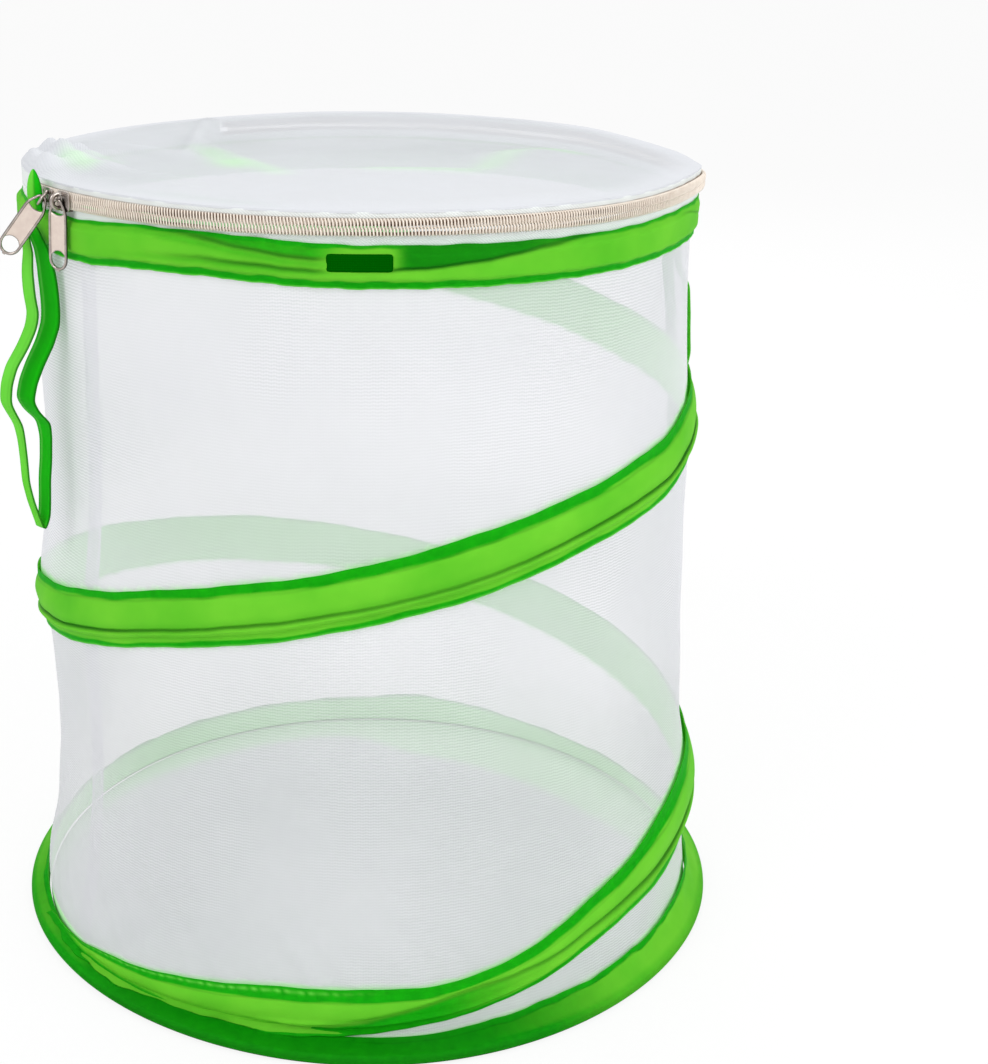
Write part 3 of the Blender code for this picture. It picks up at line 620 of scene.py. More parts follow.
def beside_green(angle, z):
    """1 where the netting lies against a green sleeve; there it is painted with the green light that
    comes through the sleeve.
    """
    inside = sum(window(z, low - 0.0012, low + 0.0008, high - 0.0008, high + 0.0012)
                 for high, low in spiral_passes(angle, 700.0))
    hem = foot_hem(angle)
    return np.clip(inside + 1 - smooth(hem - 0.0015, hem + 0.001, z), 0, 1)


def sides_of(angle):
    """1 at the cage's right and left sides."""
    return bell(np.mod(angle + 180, 360), 178, 24) + bell(angle, 186, 24)


def netting_tube():
    """A grid over angle and height at the wall's radius, drawn in between its supports, with
    slow upright folds and a few slanted pulls above the foot."""
    z = np.concatenate([np.linspace(0.0018, 0.040, 24), np.linspace(0.042, 0.3365, 126)])[None, :]
    angle, z = np.broadcast_arrays(np.arange(0, 360, 1.0)[:, None], z)
    share = angle / 360
    folds = (waves(share, (9, 0.0003, 0.3), (17, 0.0002, 1.9), (31, 0.0001, 0.8))
             + waves(share + z * 1.5, (13, 0.0002, 2.0))
             + waves(z + 0.01 * np.sin(np.radians(angle) * 5), (11, 0.00015, 0.4)))
    pull = bell(z, 0.030, 0.030) * waves(share + z * 0.8, (24, 0.0004, 0.2), (41, 0.0002, 1.0))
    radius = (wall_radius(z) - 0.0003 - smooth(0.010, 0.020, z)
              * (slack_of(angle, z) + np.abs(folds) * 0.8 + np.abs(pull)))
    # Painted green light where the netting lies against a sleeve.
    tint = beside_green(angle, z)
    veil = (0.10 * bell(z, 0.332, 0.014) + 0.05 * waves(share, (7, 1, 0.2)) * bell(z, 0.05, 0.05)
            + 0.04 * waves(z + share / 10, (9, 1, 0.0)) + 0.34 * sides_of(angle) + 0.38 * tint)
    # low: painted shade, greyer towards the foot.
    grid = {"points": cage(radius, angle, z), "loop_i": True,
            "marks": {"veil": veil, "tint": tint, "low": 0.8 * (1 - smooth(0.05, 0.22, z))},
            "uv": (arc(WALL, np.arange(361)), z[0])}
    piece = surface([grid], "netting_tube")
    dress(piece, "base", "netting", "mesh_wall", look=NET)
    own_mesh(piece)


def seam():
    """The overlap of the netting: a strip that leans from 222 degrees at its top to 214 at its
    foot, 1.1 mm inside the netting, whose two stitched edges are denser."""
    z = np.linspace(0.0095, 0.3365, 90)[:, None]
    s = np.linspace(-1, 1, 15)[None, :]
    half = 0.0052
    lean = 222.3 - 8.5 * (1 - z / TOP)
    angle = lean + s * np.degrees(half / WALL) + waves(z, (6, 0.12, 0.0), (13, 0.08, 1.0))
    radius = wall_radius(z) - 0.0014 - slack_of(angle, z + 0 * angle)
    grid = {"points": cage(radius, angle, z), "flip": True, "uv": (z[:, 0], s[0] * half),
            "marks": {"veil": 0.20 + 0.30 * bell(np.abs(s), 0.86, 0.14)}}
    piece = surface([grid], "netting_seam")
    dress(piece, "base", "netting", "side_seam_tape", look=NET)
    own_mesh(piece)


# Hoop sleeves

# An angle, and the heights of the sleeve's upper and lower edges there.
TOP_EDGES = (
    (0, 337.6, 321.4), (30, 337.0, 320.8), (70, 337.8, 321.2), (110, 337.2, 320.8),
    (150, 338.0, 321.5), (190, 338.4, 321.8), (215, 337.6, 320.6), (224, 337.4, 320.4),
    (232, 339.4, 322.2), (247, 339.6, 322.6), (256, 338.0, 321.2), (265, 336.4, 320.2),
    (290, 336.0, 319.9), (312, 336.4, 320.2), (327, 337.6, 321.2), (345, 337.8, 321.6),
)
# Where a crease starts across the sleeve, how far it climbs between two angles, its width, the
# angles where it fades in and out, and its strength.
TOP_CREASES = (
    (1.02, -0.34, 232, 262, 0.055, (230, 248, 262, 266), 0.80),
    (0.44, -0.03, 240, 262, 0.055, (234, 254, 262, 266), 0.75),
    (0.46, 0.58, 272, 312, 0.045, (272, 274, 303, 312), 0.80),
    (0.50, 0.30, 20, 70, 0.03, (18, 30, 60, 72), 0.6),
    (0.85, -0.35, 330, 352, 0.03, (328, 336, 346, 354), 0.5),
    (0.42, 0.4, 100, 150, 0.03, (98, 108, 138, 152), 0.6),
)


def top_sleeve():
    """Across the share t runs from 0, the lower edge, to 1. The radius is a flat hem at each edge
    and a rounded puff over the hoop, flatter at the loops; slanted creases run from the label up
    to the upper edge."""
    angle = np.arange(0, 360, 0.5)[:, None]
    share = angle / 360
    t = np.linspace(0, 1, 46)[None, :]
    high, low = (v / 1000 for v in eased(angle, TOP_EDGES, period=360, blur=5.0))
    high = high + waves(share, (37, 0.00014, 0.3), (61, 0.0001, 1.2))
    low = low + waves(share, (41, 0.00012, 0.9), (73, 0.0001, 2.2), (160, 0.00006, 0.4))
    z = low + (high - low) * t
    puff = window(t, 0.06, 0.30, 0.76, 0.97)
    soft = waves(share + t * 0.02, (19, 0.00018, 0.2), (47, 0.0001, 1.6))
    crease = sum(bell(t, place + climb * smooth(first, last, angle), width)
                 * window(angle, *ends) * strength
                 for place, climb, first, last, width, ends, strength in TOP_CREASES)
    slim = (1 - 0.50 * np.exp(-np.abs((np.mod(angle + 180, 360) - 180) / 30) ** 3)
            - 0.42 * np.exp(-((angle - 211) / 11) ** 4))
    radius = (WALL + 0.0008 + 0.0006 * smooth(0.7, 1.0, t) + (0.0030 + soft) * puff * slim
              - 0.0006 * np.clip(crease, 0, 1) * puff)
    rim = waves(share, (29, 0.012, 0.0), (67, 0.012, 1.1))
    lower = 1 - smooth(0.17, 0.205, t + rim)
    upper = smooth(0.90, 0.94, t + rim * 0.6) * 0.85
    # Painted shade in the tuck right of the label.
    tucked = (smooth(0.44, 0.50, t - 0.60 * smooth(272, 312, angle))
              * window(angle, 273, 276, 292, 310))
    fold = 1.02 - 0.34 * smooth(232, 262, angle)
    shadow = window(angle, 226, 244, 262, 268) * (
        0.80 * smooth(fold - 0.03, fold + 0.08, t) + 0.40 * bell(t, fold - 0.12, 0.08)
        + 0.35 * bell(t, 0.36, 0.06))
    # hem: the hems, and painted shade in the tuck and the shadow left of the label; crease: painted
    # shade in the creases, along the lower hem's edge and in the tuck; edge: a painted highlight on
    # the lower edge.
    marks = {
        "hem": np.clip(np.maximum(np.maximum(lower, upper), tucked * 0.92) + 0.08 + shadow, 0, 1),
        "crease": np.clip(crease + 0.25 * bell(t, 0.205, 0.018) + 0.52 * tucked, 0, 1),
        "edge": (1 - smooth(0.012, 0.035, t)) * np.ones_like(z) * 0.8,
    }
    inner = np.linspace(0.98, 0.02, BACK_ROWS)[None, :]
    back = cage(WALL + 0.0002, angle, low + (high - low) * inner)
    across = np.append(t[0] * 0.0165, 0.0165 + 0.002 * np.arange(1, BACK_ROWS + 2))
    grid = {"points": np.concatenate([cage(radius, angle, z), back], 1), "loop_i": True,
            "loop_j": True, "marks": with_back(marks, len(angle)),
            "uv": (arc(0.150, np.arange(721) * 0.5), across)}
    piece = surface([grid], "top_sleeve")
    dress(piece, "top", "green", "top_band", look=GREEN)
    ring = cage(0.1483, np.arange(0, 360, 3.0), HOOP_HEIGHT)
    crimp = cage(0.1486, np.linspace(98.4, 101.6, 9), HOOP_HEIGHT)
    wire = surface([{"points": along_path(ring, (0, 0, 1.0), circle(0.0007, 8), turning=True),
                     "loop_i": True, "loop_j": True},
                    {"points": along_path(crimp, (0, 0, 1.0), circle(0.0013, 10)),
                     "loop_j": True, "ends": True}], "top_ring")
    dress(wire, "top", "wire", "top_hoop_wire", "top_hoop_ferrule", look=STEEL)


# An angle, and how far above 10.5 mm the foot sleeve leaves the netting there.
FOOT_RISE = (
    (0, 2.5), (25, 1.0), (50, 0.6), (65, 4.0), (79, 8.0), (92, 4.8), (135, 5.2), (165, 4.0),
    (180, 1.0), (190, -3.0), (198, -4.6), (215, -4.2), (240, -3.9), (262, -3.9), (270, -4.5),
    (278, -4.8), (284, -3.8), (290, -1.8), (298, -0.2), (310, 1.4), (322, 3.6), (332, 4.8),
    (341, 7.0), (350, 6.0),
)
# The radius and height of the foot sleeve round its hoop, from the slope's end to underneath.
WRAP = ((163.9, 4.7), (165.0, 3.85), (165.8, 2.75), (165.9, 1.85), (165.4, 0.95), (164.5, 0.42),
        (163.2, 0.2), (161.0, 0.2), (157.7, 0.2))


def foot_sleeve():
    """A closed profile carried round the cage. It leaves the netting at a hem whose height
    changes round the cage, slopes out to the hoop as the 1.5th power of the way down, wraps the
    hoop, comes in underneath and climbs the netting again, to the hem. At the front it reaches
    4 mm further."""
    angle = np.arange(0, 360, 0.5)[:, None]
    share = angle / 360
    ripple = waves(share, (23, 0.0004, 0.4), (51, 0.0002, 1.0), (87, 0.0001, 2.0))
    hem_z = foot_hem(angle) + ripple * smooth(0.0055, 0.0095, foot_hem(angle))
    ahead = 0.0042 * bell(angle, 276, 34)
    f = np.linspace(0, 1, 26)[None, :]
    slope_z = hem_z + (FOOT_HIGH - hem_z) * f
    slack = np.sin(np.pi * f) * waves(share + f * 0.03, (17, 0.0003, 0.0), (39, 0.0002, 1.1))
    rows = np.array(WRAP) / 1000
    reach = rows[0, 0] - wall_radius(FOOT_HIGH) - 0.0009
    slope_r = wall_radius(slope_z) + 0.0009 + (reach + ahead) * f ** 1.5 + slack
    steps = np.linspace(0, len(rows) - 1, 25)[1:]
    wrap_r, wrap_z = (np.interp(steps, np.arange(len(rows)), column) for column in rows.T)
    back_z = 0.0012 + (hem_z - 0.0018) * np.linspace(0, 1, 7)[None, 1:-1]
    inner = ahead * smooth(0.1577, 0.1610, wrap_r)
    radius = np.concatenate([slope_r, wrap_r + inner, wall_radius(back_z) + 0.0004], 1)
    z = np.concatenate([slope_z, wrap_z + 0 * angle, back_z], 1)
    t = np.concatenate([f[0] * 0.60, 0.60 + 0.40 * np.arange(1, 25) / 24, np.full(5, 1.0)])[None, :]
    rim = waves(share, (31, 0.012, 0.3), (77, 0.010, 1.7))
    wide = 0.17 * 0.0085 / np.maximum(hem_z - 0.0020, 0.0060)
    stitched = 1 - smooth(wide, wide + 0.03, t + rim)
    # hem: the stitched hem, painted shade at the front, on the front left and under the hoop, and
    # deeper round 197 degrees; crease: painted shade below the hem, at the front and under the hoop;
    # edge: a painted highlight on the upper edge.
    left, front = window(angle, 200, 214, 262, 274), window(angle, 212, 232, 285, 318)
    marks = {
        "hem": np.clip(stitched * (1 - left) + 0.10 + 0.9 * front * smooth(-0.06, 0.03, t)
                       + 0.45 * left + 0.30 * smooth(0.50, 0.62, t)
                       + 0.50 * bell(angle, 197, 20), 0, 1),
        "crease": np.clip(0.35 * bell(t, wide + 0.015, 0.014) * (1 - left) + 0.34 * front
                          + 0.25 * bell(t, 0.70, 0.05)
                          + 0.75 * smooth(0.74, 0.78, t) * (t < 0.99), 0, 1),
        "edge": (1 - smooth(0.006, 0.02, t)) * (1 - left) * 0.5,
    }
    grid = {"points": cage(radius, angle, z), "loop_i": True, "loop_j": True, "marks": marks,
            "flip": True, "uv": (arc(0.160, np.arange(721) * 0.5),
                                 np.arange(radius.shape[1] + 1) * 0.0006)}
    piece = surface([grid], "foot_sleeve")
    dress(piece, "base", "green", "foot_band", look=GREEN)


# An angle, and how far in from the rim the foot sleeve's green shows through the floor there.
FLOOR_LAP = ((0, 14), (20, 34), (50, 42), (80, 40), (92, 20), (130, 16), (150, 8), (200, 0),
             (300, 0), (330, 8))


def disc(radius, step):
    """X and Y on a grid of angle and radius."""
    x, y, _ = np.moveaxis(polar(radius[None, :], np.arange(0, 360, step)[:, None], 0.0), -1, 0)
    return x, y


def floor_cloth():
    """A disc with slow waves under a millimetre high."""
    radius, step = np.linspace(0.0, 0.1572, 40), 3.0
    x, y = disc(radius, step)
    wave = 0.5 + waves(x + 0.4 * y, (9, 0.25, 0.1)) + waves(y - 0.3 * x, (13, 0.2, 1.0))
    z = 0.0004 + 0.0007 * wave * (1 - smooth(0.140, 0.157, radius))
    lap = eased(np.arange(0, 360, step)[:, None], FLOOR_LAP, period=360) / 1000
    tint = smooth(-0.006, 0.003, radius - 0.157 + lap) * np.clip(lap / 0.01, 0, 1) * 0.62
    grid = {"points": np.stack([x, y, z], -1), "loop_i": True, "flip": True,
            "marks": {"tint": tint}, "uv": (np.arange(121) * 0.006, radius)}
    piece = surface([grid], "floor_cloth")
    dress(piece, "base", "netting", "floor_panel", look=FLOOR_NET)


def plain_label():
    """A small blank label, softly rounded at its corners, sewn flat on the top sleeve."""
    u = np.linspace(-1, 1, 41)[:, None]
    v = np.linspace(-1, 1, 15)[None, :]
    shrink = 1 - 0.035 * smooth(0.75, 1.0, np.abs(v))
    angle = 269.0 + np.degrees(0.0121 / 0.1515) * u * shrink
    z = 0.3303 + 0.0033 * v * (1 - 0.06 * smooth(0.9, 1.0, np.abs(u)))
    radius = (0.15145 - 0.0004 * smooth(0.86, 1.0, np.maximum(np.abs(u), np.abs(v)))
              + 0.00005 * np.cos(9 * u))
    grid = {"points": cage(radius, angle, z), "uv": (u[:, 0] * 0.012, v[0] * 0.0032)}
    piece = thicken(surface([grid], "plain_label"), 0.0004)
    dress(piece, "top", "label", "blank_label", look=LABEL)


# Zip

def zip_tape(name, body, node, low, high, start, end, turn_in=0.0):
    """A tape round the rim from one height to another. Where turn_in is set, its upper edge
    rolls in over the rim by that much."""
    whole = end - start >= 360
    steps = int((end - start) / 0.75)
    angle = np.linspace(start, end, steps + (not whole), endpoint=not whole)[:, None]
    reach = (high - low + turn_in) * np.linspace(0, 1, 28)[None, :]
    rise = np.minimum(reach, high - low)
    z = low + rise + waves(angle / 360, (43, 0.00012, 0.2))
    radius = 0.14782 + rise - reach + 0.00010 * waves(angle / 360, (59, 1, 0.4), (83, 0.6, 1.0))
    from_hinge = np.abs(np.mod(angle + 180 - HINGE_ANGLE, 360) - 180)
    marks = {"green": (1 - smooth(0.335, 0.3405, z)) * 0.9,
             "coil": window(z, 0.3403, 0.3409, 0.3469, 0.3474) * (from_hinge > 43.0)}
    grid = {"points": cage(radius, angle, z), "marks": marks, "loop_i": whole,
            "uv": (arc(0.1477, angle[:, 0]), reach[0])}
    piece = thicken(surface([grid], name), 0.0004)
    dress(piece, body, "netting", node, look=TAPE)


def zip_coil(name, body, node, middle, shift):
    """One half of the zip: a nylon line wound in flattened turns, 1.25 mm apart, each slanted.
    Along it the angle grows steadily while the line circles an oval of depth and height."""
    start, end = ZIP_START + 1.35, ZIP_END - 1.35
    pitch = np.degrees(0.00125 / 0.1491)
    per_turn = 10
    k = np.arange(int((end - start) / pitch) * per_turn + 1) / per_turn
    phase = 2 * np.pi * (k + shift)
    angle = start + k * pitch + 0.16 * pitch * np.sin(phase)
    height = np.cos(phase)
    path = cage(0.14912 + 0.00082 * np.sin(phase), angle,
                middle + 0.00172 * np.sign(height) * np.abs(height) ** 0.85)
    turns = along_path(path, polar(1.0, angle, 0.0), circle(0.00031, 5))
    piece = surface([{"points": turns, "loop_j": True, "ends": True}], name)
    dress(piece, body, "coil", node, look=COIL)


def rounded(centre, half, power=0.22, around=28, up=14):
    """A box with rounded edges: each coordinate is its half size times a cosine or a sine raised
    to a small power, with its sign kept."""
    def lift(x):
        return np.sign(x) * np.abs(x) ** power
    u = np.linspace(-np.pi, np.pi, around, endpoint=False)[:, None]
    v = np.linspace(-np.pi / 2, np.pi / 2, up)[None, :]
    shape = np.stack([lift(np.cos(v)) * lift(np.cos(u)), lift(np.cos(v)) * lift(np.sin(u)),
                      lift(np.sin(v)) * np.ones_like(u)], -1)
    return np.asarray(centre) + shape * np.asarray(half)


def turned_to(points, angle):
    """Turns points about Z by an angle."""
    c, s = math.cos(math.radians(angle)), math.sin(math.radians(angle))
    x, y, z = np.moveaxis(np.asarray(points, float), -1, 0)
    return np.stack([x * c - y * s, x * s + y * c, z], -1)


def zip_stop(name, node, angle):
    """A small bent clip over the end of the lower coil."""
    grid = {"points": turned_to(rounded((0.1491, 0, 0.3422), (0.0011, 0.0012, 0.0013)), angle),
            "loop_i": True}
    dress(surface([grid], name), "top", "nickel", node, look=NICKEL)


# Sliders and pull tabs

def direction(x, y, z):
    made = np.array([x, y, z], float)
    return made / np.linalg.norm(made)


TAB_BEND = 0.0026       # radius of the slider's wire arch round the tab's bar


def slider(name, body, angle, bar, down, face):
    """A cast slider: a shield-shaped outer plate, side lips, a neck, an inner plate, and a wire
    arch that bends half round the tab's bar."""
    shapes = (
        ((0.15095, 0.0010, 0.3440), (0.00052, 0.0045, 0.0037), 0.35),
        ((0.15100, 0.0026, 0.3441), (0.00075, 0.0019, 0.0030), 0.5),
        ((0.15100, -0.0017, 0.3441), (0.00075, 0.0016, 0.0030), 0.5),
        ((0.14990, 0.0004, 0.34030), (0.0014, 0.0038, 0.00042), 0.3),
        ((0.14855, 0.0, 0.34400), (0.0024, 0.0013, 0.00028), 0.4),
        ((0.14585, 0.0, 0.34400), (0.00042, 0.0043, 0.0029), 0.35),
    )
    # Painted dark reflections, stronger on every other part.
    grids = [{"points": turned_to(rounded(*shape), angle), "loop_i": True,
              "marks": {"shade": 0.25 + 0.35 * (k % 2)}} for k, shape in enumerate(shapes)]
    out = polar(1.0, angle, 0.0)
    turn = np.linspace(-math.pi / 2, math.pi / 2, 13)[:, None]
    bend = bar + TAB_BEND * (face * np.cos(turn) - down * np.sin(turn))
    feet = [point - face * (point @ out - 0.1509) / (face @ out)
            for point in (bar + down * TAB_BEND, bar - down * TAB_BEND)]
    path = np.concatenate([feet[:1], bend, feet[1:]])
    wire = along_path(path, np.cross(down, face), circle(0.00062, 8, 1.5))
    grids.append({"points": wire, "loop_j": True, "ends": True})
    dress(surface(grids, name + "_cast"), body, "nickel", name, look=NICKEL)


# The tab's outline: a distance down from its bar, and half its width there.
TAB = ((-0.35, 1.35), (0.6, 1.75), (2.0, 2.55), (3.6, 3.35), (5.2, 3.78), (7.0, 3.85),
       (22.6, 3.85))


def pull_tab(name, body, bar, down, face):
    """A wire rim carried round the tab's outline, and inside it a thin sunk plate that ends in a
    hollow curve below the eye and another above the hole."""
    side = np.cross(down, face)
    rows = np.array(TAB) / 1000
    turn = np.linspace(0, np.pi, 17)[1:-1]
    foot, half = rows[-1]
    end = np.stack([foot + 0.00405 * np.sin(turn), half * np.cos(turn)], -1)
    outline = np.concatenate([rows, end, rows[::-1] * (1, -1)])
    path = resampled(bar + outline[:, :1] * down + outline[:, 1:] * side, 150)
    rim = along_path(path, face, circle(0.00066, 10, 0.9), turning=True)
    # Painted dark reflections on the rim's sides and back; its front stays pale.
    shade = np.array([0.0, 0.35, 0.9, 1.0, 0.95, 0.8, 0.6, 0.5, 0.35, 0.1])[None, :]
    t = np.linspace(-1, 1, 21)[:, None]
    top = 0.0058 - 0.0014 * t ** 2
    low = 0.0192 + 0.0026 * np.abs(t) ** 2.4
    s = top + (low - top) * np.linspace(0, 1, 30)[None, :]
    width = np.interp(s, rows[:, 0], rows[:, 1])
    sunk = 0 * s - 0.00005 - 0.00012 * (1 - t ** 2)
    plate = bar + s[..., None] * down + (t * width)[..., None] * side + sunk[..., None] * face
    nub = rounded((0, 0, 0), (0.00075, 0.0006, 0.0005), 0.6, 14, 8)
    nub = bar + 0.02705 * down + nub @ np.stack([side, down, face])
    grids = [{"points": rim, "loop_i": True, "loop_j": True, "marks": {"shade": shade}}]
    grids += [{"points": along_path(line, face, circle(radius, 6)), "loop_j": True, "ends": True}
              for line, radius in ((plate[:, -1], 0.00028), (plate[:, 0], 0.00030))]
    grids.append({"points": nub, "loop_i": True})
    dress(surface(grids, name + "_rim"), body, "nickel", name, look=NICKEL)
    inset = thicken(surface([{"points": plate}], name + "_plate"), 0.0005, 0.0)
    dress(inset, body, "nickel", look=PLATE)


def reach_along(path):
    """Lengths along a closed path: to each of its points, and back to the first."""
    steps = np.diff(np.concatenate([path, path[:1]]), axis=0)
    return np.append(0.0, np.cumsum(np.linalg.norm(steps, axis=1)))


def resampled(path, count):
    """The same closed outline, rounded a little, at even steps."""
    reach = reach_along(path)
    even = np.linspace(0, reach[-1], count, endpoint=False)
    points = np.stack([np.interp(even, reach, np.append(v, v[0])) for v in path.T], -1)
    for _ in range(3):
        points = (np.roll(points, 1, 0) + 2 * points + np.roll(points, -1, 0)) / 4
    return points


def sliders():
    """The front slider with its tab hanging down its wall, and the rear one, whose tab leans out
    to the left and faces the front."""
    middle = np.array([0.0, 0.0, ZIP_HEIGHT])
    angle, down, out = 219, np.array([0.0, 0.0, -1.0]), polar(1.0, 219, 0.0)
    bar = out * 0.1530 + middle
    slider("front_slider", "front_slider", angle, bar, down, out)
    pull_tab("front_puller", "front_puller", bar, direction(-0.055, 0.04, -1.0),
             direction(-0.50, -0.866, 0.0))
    angle, lean = 214, math.radians(37.6)
    down, face = direction(-math.sin(lean), 0.0, -math.cos(lean)), np.array([0.0, -1.0, 0.0])
    bar = polar(0.1538, angle, 0.0) + polar(0.0024, angle + 90, 0.0) + middle
    slider("rear_slider", "rear_slider", angle, bar, down, face)
    pull_tab("rear_puller", "rear_puller", bar, down, face)


# Carrying loops

# A depth, and the distances of the inner and the outer strand from the wall there.
LEFT_LOOP = (
    (4.0, 5.2, 8.2), (10.0, 5.4, 10.6), (20.0, 3.9, 11.4), (30.0, 3.2, 11.2), (37.5, 3.0, 10.5),
    (43.0, 3.6, 12.0), (50.0, 6.7, 16.0), (58.0, 11.8, 21.5), (65.0, 15.2, 24.0),
    (72.5, 16.9, 25.0), (77.5, 14.1, 22.9), (82.5, 9.2, 20.5), (89.0, 8.5, 19.5),
    (98.0, 9.2, 18.7), (107.0, 10.4, 18.2), (116.0, 10.7, 16.5), (122.5, 11.1, 14.8),
)
RIGHT_LOOP = (
    (5.0, 4.9, 7.8), (15.0, 4.6, 8.5), (40.0, 3.0, 9.0), (50.0, 4.0, 13.6), (65.0, 6.0, 14.4),
    (84.0, 6.0, 13.6), (94.0, 6.0, 10.5), (118.0, 6.0, 9.5), (124.0, 6.5, 8.8),
)


def ribbon_loop(name, body, node, angle, swing, facing, table, widths):
    """A flat ribbon along a closed line of depth and distance from the wall: down the inner
    strand, round the tip, up the outer one. It hangs `swing` degrees round the cage from its
    root, its width points across `facing`, and `widths` gives half of it by depth."""
    rows = np.array(table)
    tip = [(rows[-1, 0] + 6.5, rows[-1, 1:].mean())]
    root = [(0.5, rows[0, 1:].mean())]
    line = np.concatenate([rows[:, [0, 1]], tip, rows[::-1][:, [0, 2]], root]) / 1000
    depth, off = resampled(line, 220).T
    path = cage(WALL + off, angle + swing * smooth(0.0, 0.014, depth), 0.3350 - depth)
    across = polar(1.0, facing + 90.0, 0.0)
    inner = np.where(np.arange(len(path)) < np.argmax(depth), 1.0, 0.0)
    for _ in range(6):
        inner = (np.roll(inner, 1) + inner + np.roll(inner, -1)) / 3
    inner = inner[:, None]
    half = eased(depth * 1000, widths, blur=4.0)[:, None] / 1000 * (0.62 + 0.38 * inner)
    s = np.linspace(-1, 1, 13)[None, :]
    step = np.roll(path, -1, 0) - np.roll(path, 1, 0)
    normal = np.cross(step / np.linalg.norm(step, axis=1)[:, None], across)
    reach = reach_along(path)
    cup = 0.0004 * s ** 2 * waves(reach[:-1, None], (11, 1.0, 0.4), (23, 0.6, 1.3))
    points = path[:, None] + (s * half)[..., None] * across + cup[..., None] * normal[:, None]
    # Painted shade: the inner strand is deeper as it lies in the outer one's shade, and both edges
    # are darker; the lime line on the inner strand is a painted highlight.
    edge = smooth(0.78, 0.96, s) + 0.35 * smooth(0.86, 0.98, -s)
    marks = {"hem": np.clip(inner * 0.95 + 0.04, 0, 1),
             "crease": edge * 0.85 + 0.18 * bell(s, 0.45, 0.12),
             "edge": 0.45 * bell(s, -0.70, 0.09) * inner}
    grid = {"points": points, "loop_i": True, "marks": marks, "uv": (reach, s[0] * 0.006)}
    piece = thicken(surface([grid], name), 0.0007, 0.0)
    dress(piece, body, "green", node, look=RIBBON)
    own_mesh(piece)


def root_leaf():
    """The left loop's root, a folded leaf of ribbon that stands beside the sliders: two halves
    that meet in an upright fold and narrow to a point above."""
    v = np.linspace(0, 1, 30)[:, None]
    u = np.linspace(-1, 1, 17)[None, :]
    width = 0.0037 * np.sin(np.pi * (0.30 + 0.70 * v ** 1.3)) ** 0.75 + 0.0002
    middle = polar(0.1538, 212.4, 0.3384 + 0.0158 * v)
    across, out = polar(1.0, 325.0, 0.0), polar(1.0, 235.0, 0.0)
    lift = 0.0014 * (1 - np.abs(u)) * np.sin(np.pi * v)
    points = middle + (width * u)[..., None] * across + lift[..., None] * out
    # Painted shade over the right half, at its right edge and beside the fold.
    marks = {"hem": smooth(0.10, 0.35, u) * 0.95 + 0.05,
             "crease": 0.4 * bell(u, 0.22, 0.10) + 0.7 * smooth(0.75, 1.0, u)}
    grid = {"points": points, "marks": marks, "uv": (v[:, 0] * 0.0155, u[0] * 0.004)}
    piece = thicken(surface([grid], "root_leaf"), 0.0005)
    dress(piece, "top", "green", "strap_root_fold", look=RIBBON)
    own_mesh(piece)


# Lid

# Folds of the lid and the green that shows through it: a line's two ends, its width and height.
LID_FOLDS = (
    (-79, 118, -75, -30, 4, 2.4), (-76, 20, -40, -66, 5, 1.3), (-126, 30, -70, -40, 8, 2.4),
    (-135, -20, -95, -75, 7, 3.0), (-128, -55, -70, -92, 7, 2.4), (-118, -78, -60, -112, 6, 1.6),
    (40, -40, 95, 10, 9, 1.1), (-10, -62, 60, -66, 6, 0.9), (105, 40, 125, 36, 3, 1.0),
    (10, 60, 110, 70, 14, 0.8), (-30, 100, 40, 40, 14, 0.7), (-100, 90, -70, 10, 7, 1.0),
)
GREEN_BELOW = (
    (-70, -2, -52, -62, 7, 0.38), (-58, -38, -32, -76, 6, 0.28), (-2, -62, 44, -66, 5, 0.25),
    (44, -66, 70, 0, 6, 0.25), (70, 2, 96, -6, 5, 0.25), (-118, -24, -102, -50, 6, 0.15),
    (-126, -42, -108, -70, 5, 0.45),
)


def along_lines(x, y, table):
    """The sum of soft ridges along straight lines: each row holds a line's two ends and its width
    in millimetres, and its height."""
    total = 0 * x
    for x0, y0, x1, y1, width, height in table:
        dx, dy = (x1 - x0) / 1000, (y1 - y0) / 1000
        length = math.hypot(dx, dy)
        t = ((x - x0 / 1000) * dx + (y - y0 / 1000) * dy) / length ** 2
        away = ((x - x0 / 1000) * dy - (y - y0 / 1000) * dx) / length
        total = total + height * bell(away, 0.0, width / 1000) * np.exp(-np.abs(2 * t - 1) ** 6)
    return total


def lid_height(x, y, reach):
    """A low dome of 2 mm with folds, and a bunch of slack cloth at the left rim."""
    rim = 0.3497
    z = 0.3499 + 0.0020 * (1 - reach ** 2) + along_lines(x, y, LID_FOLDS) / 1000
    z = z + waves(x * 0.6 + y, (8, 0.0003, 0.2)) + waves(y * 0.7 - x, (13, 0.0002, 1.2))
    z = rim + (z - rim) * (1 - smooth(0.90, 1.0, reach) * 0.85)
    bunch = np.exp(-((x + 0.132) / 0.019) ** 2 - ((y + 0.036) / 0.034) ** 4)
    ruck = 0.76 + waves(x * 0.9 + y * 0.5, (75, 0.34, 0.5)) + waves(y - x * 0.3, (52, 0.26, 1.0))
    return z + 0.0060 * bunch * ruck * (1 - smooth(0.972, 1.0, reach) ** 2)


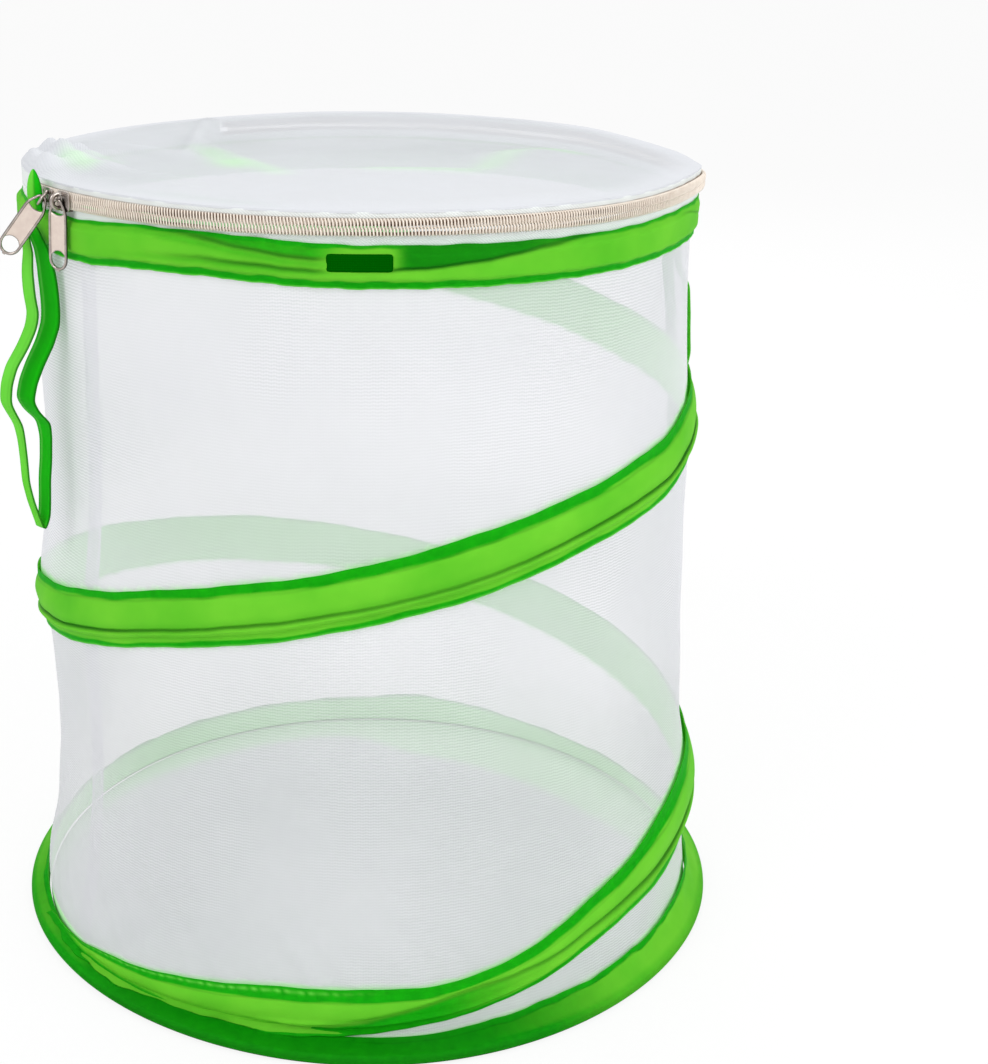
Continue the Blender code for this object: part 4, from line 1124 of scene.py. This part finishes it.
def lid_cloth():
    """A disc at the lid's height, whose rim turns down over the tape."""
    share = np.concatenate([np.linspace(0, 0.95, 66), np.linspace(0.956, 0.999, 14), [1.0, 1.0]])
    radius = 0.1479 * share
    x, y = disc(radius, 1.5)
    z = lid_height(x, y, radius / 0.1478)
    z[:, -1] -= 0.0008
    clear = (bell(x, -0.060, 0.022) * bell(y, 0.015, 0.05)
             + bell(x, 0.045, 0.050) * bell(y, 0.0, 0.035))
    rise = np.clip(z - 0.3520, 0, 0.004) / 0.004
    marks = {"veil": 0.16 * smooth(0.86, 1.0, share) + 0.12 * rise + 0.03
                     - 0.08 * np.clip(clear, 0, 1),
             "tint": np.clip(along_lines(x, y, GREEN_BELOW), 0, 0.8)}
    grid = {"points": settle(np.stack([x, y, z], -1)), "loop_i": True, "flip": True,
            "marks": marks, "uv": (np.arange(241) * 0.0039, radius)}
    piece = surface([grid], "lid_cloth")
    dress(piece, None, "netting", "lid_panel", "lid_hinge_panel", look=LID_NET)
    hinge = polar(1.0, HINGE_ANGLE, 0.0)
    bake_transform(piece)


netting_tube()
seam()
spiral_sleeve()
top_sleeve()
foot_sleeve()
floor_cloth()
plain_label()
zip_tape("zip_tape_low", "top", "zip_lower_tape", 0.3306, 0.3422, 0.0, 360.0)
zip_tape("zip_tape_high", "lid", "zip_upper_tape", 0.3443, 0.3494, ZIP_START + 0.15,
         ZIP_END - 0.15, 0.0060)
zip_tape("hinge_tape", "top", "lid_hinge_tape", 0.3423, 0.3494, ZIP_END - 360 + 0.15,
         ZIP_START - 0.15, 0.0060)
zip_coil("coil_low", "top", "zip_lower_coil", COIL_LOW, 0.0)
zip_coil("coil_high", "lid", "zip_upper_coil", COIL_HIGH, 0.5)
zip_stop("start_clip", "zip_start_stop", ZIP_START + 0.65)
zip_stop("end_clip", "zip_end_stop", ZIP_END - 0.65)
sliders()
ribbon_loop("left_loop", "left_strap", "left_strap", 207.0, 5.0, 225.0, LEFT_LOOP,
            ((0, 4.4), (10, 4.6), (24, 6.2), (74, 6.0), (90, 4.0), (140, 3.9)))
ribbon_loop("right_loop", "right_strap", "right_strap", 15.0, 0.0, 15.0, RIGHT_LOOP,
            ((0, 4.6), (20, 5.6), (140, 5.4)))
root_leaf()
lid_cloth()

for node in ("foot_hoop_wire", "foot_hoop_ferrule"):
    slots = frame["nodes"][node].data.materials
    slots.clear()
    slots.append(STEEL)


# Floor, light and camera

def stage():
    """A wide pale floor that shows as white to the camera but keeps the cage's soft shadow."""
    mesh = bpy.data.meshes.new("stage_floor")
    reach, low = 14.0, -0.0004
    mesh.from_pydata([(-reach, -reach, low), (reach, -reach, low), (reach, reach, low),
                      (-reach, reach, low)], [], [(0, 1, 2, 3)])
    floor = bpy.data.objects.new("stage_floor", mesh)
    bpy.context.scene.collection.objects.link(floor)
    look = Look("stage_white")
    look.set(Base_Color=(0.90, 0.90, 0.90), Roughness=0.9, Specular_IOR_Level=0.0)
    seen = look.rays("Is Camera Ray", "Is Glossy Ray")
    glow = look.node("ShaderNodeEmission", None, (1.0, 1.0, 1.0), 1.0)
    look.share_with(glow, seen * 0.86)
    mesh.materials.append(look.owner)


def lamp(name, place, target, size, power):
    """A round lamp at a place, turned to a target."""
    data = bpy.data.lights.new(name, "AREA")
    data.shape, data.size, data.energy = "DISK", size, power
    thing = bpy.data.objects.new(name, data)
    bpy.context.scene.collection.objects.link(thing)
    x, y, z = np.array(target, float) - np.array(place, float)
    thing.location = place
    thing.rotation_euler = (math.atan2(z, math.hypot(x, y)) + math.pi / 2, 0.0,
                            math.atan2(y, x) - math.pi / 2)


def world():
    """Even white light from all sides, and a plain white background."""
    look = Look("studio", world=True)
    bpy.context.scene.world = look.owner
    look.set(Color=(1.0, 1.0, 1.0), Strength=0.80)
    look.share_with(look.node("ShaderNodeBackground", None, (1.0, 1.0, 1.0)),
                    look.rays("Is Camera Ray", "Is Transmission Ray"))


def camera():
    """The photograph's view: 0.77 m in front, 0.45 m up, looking down by 19.7 degrees. Its focal
    length, the frame's middle and the cage's are in pixels of a frame 1064 high."""
    focal, frame_middle, cage_middle, frame_height = 1737.25, 494, 382.5, 1064
    data = bpy.data.cameras.new("camera")
    data.sensor_width = 36.0
    data.lens = focal / frame_height * data.sensor_width
    data.shift_x = (frame_middle - cage_middle) / frame_height
    data.clip_start, data.clip_end = 0.01, 60.0
    thing = bpy.data.objects.new("camera", data)
    bpy.context.scene.collection.objects.link(thing)
    thing.location = (0.0, -0.7692, 0.4495)
    thing.rotation_euler = (math.pi / 2 - 0.344, 0.0, -0.009)
    bpy.context.scene.camera = thing


stage()
lamp("key", (-0.9, -1.2, 1.5), (0, 0, 0.18), 1.1, 10.0)
lamp("fill", (1.3, -0.8, 1.1), (0, 0, 0.18), 1.2, 9.0)
lamp("back", (0.1, 1.5, 1.3), (0, 0, 0.15), 1.4, 8.0)
world()
camera()
bpy.context.scene.view_settings.view_transform = "Standard"
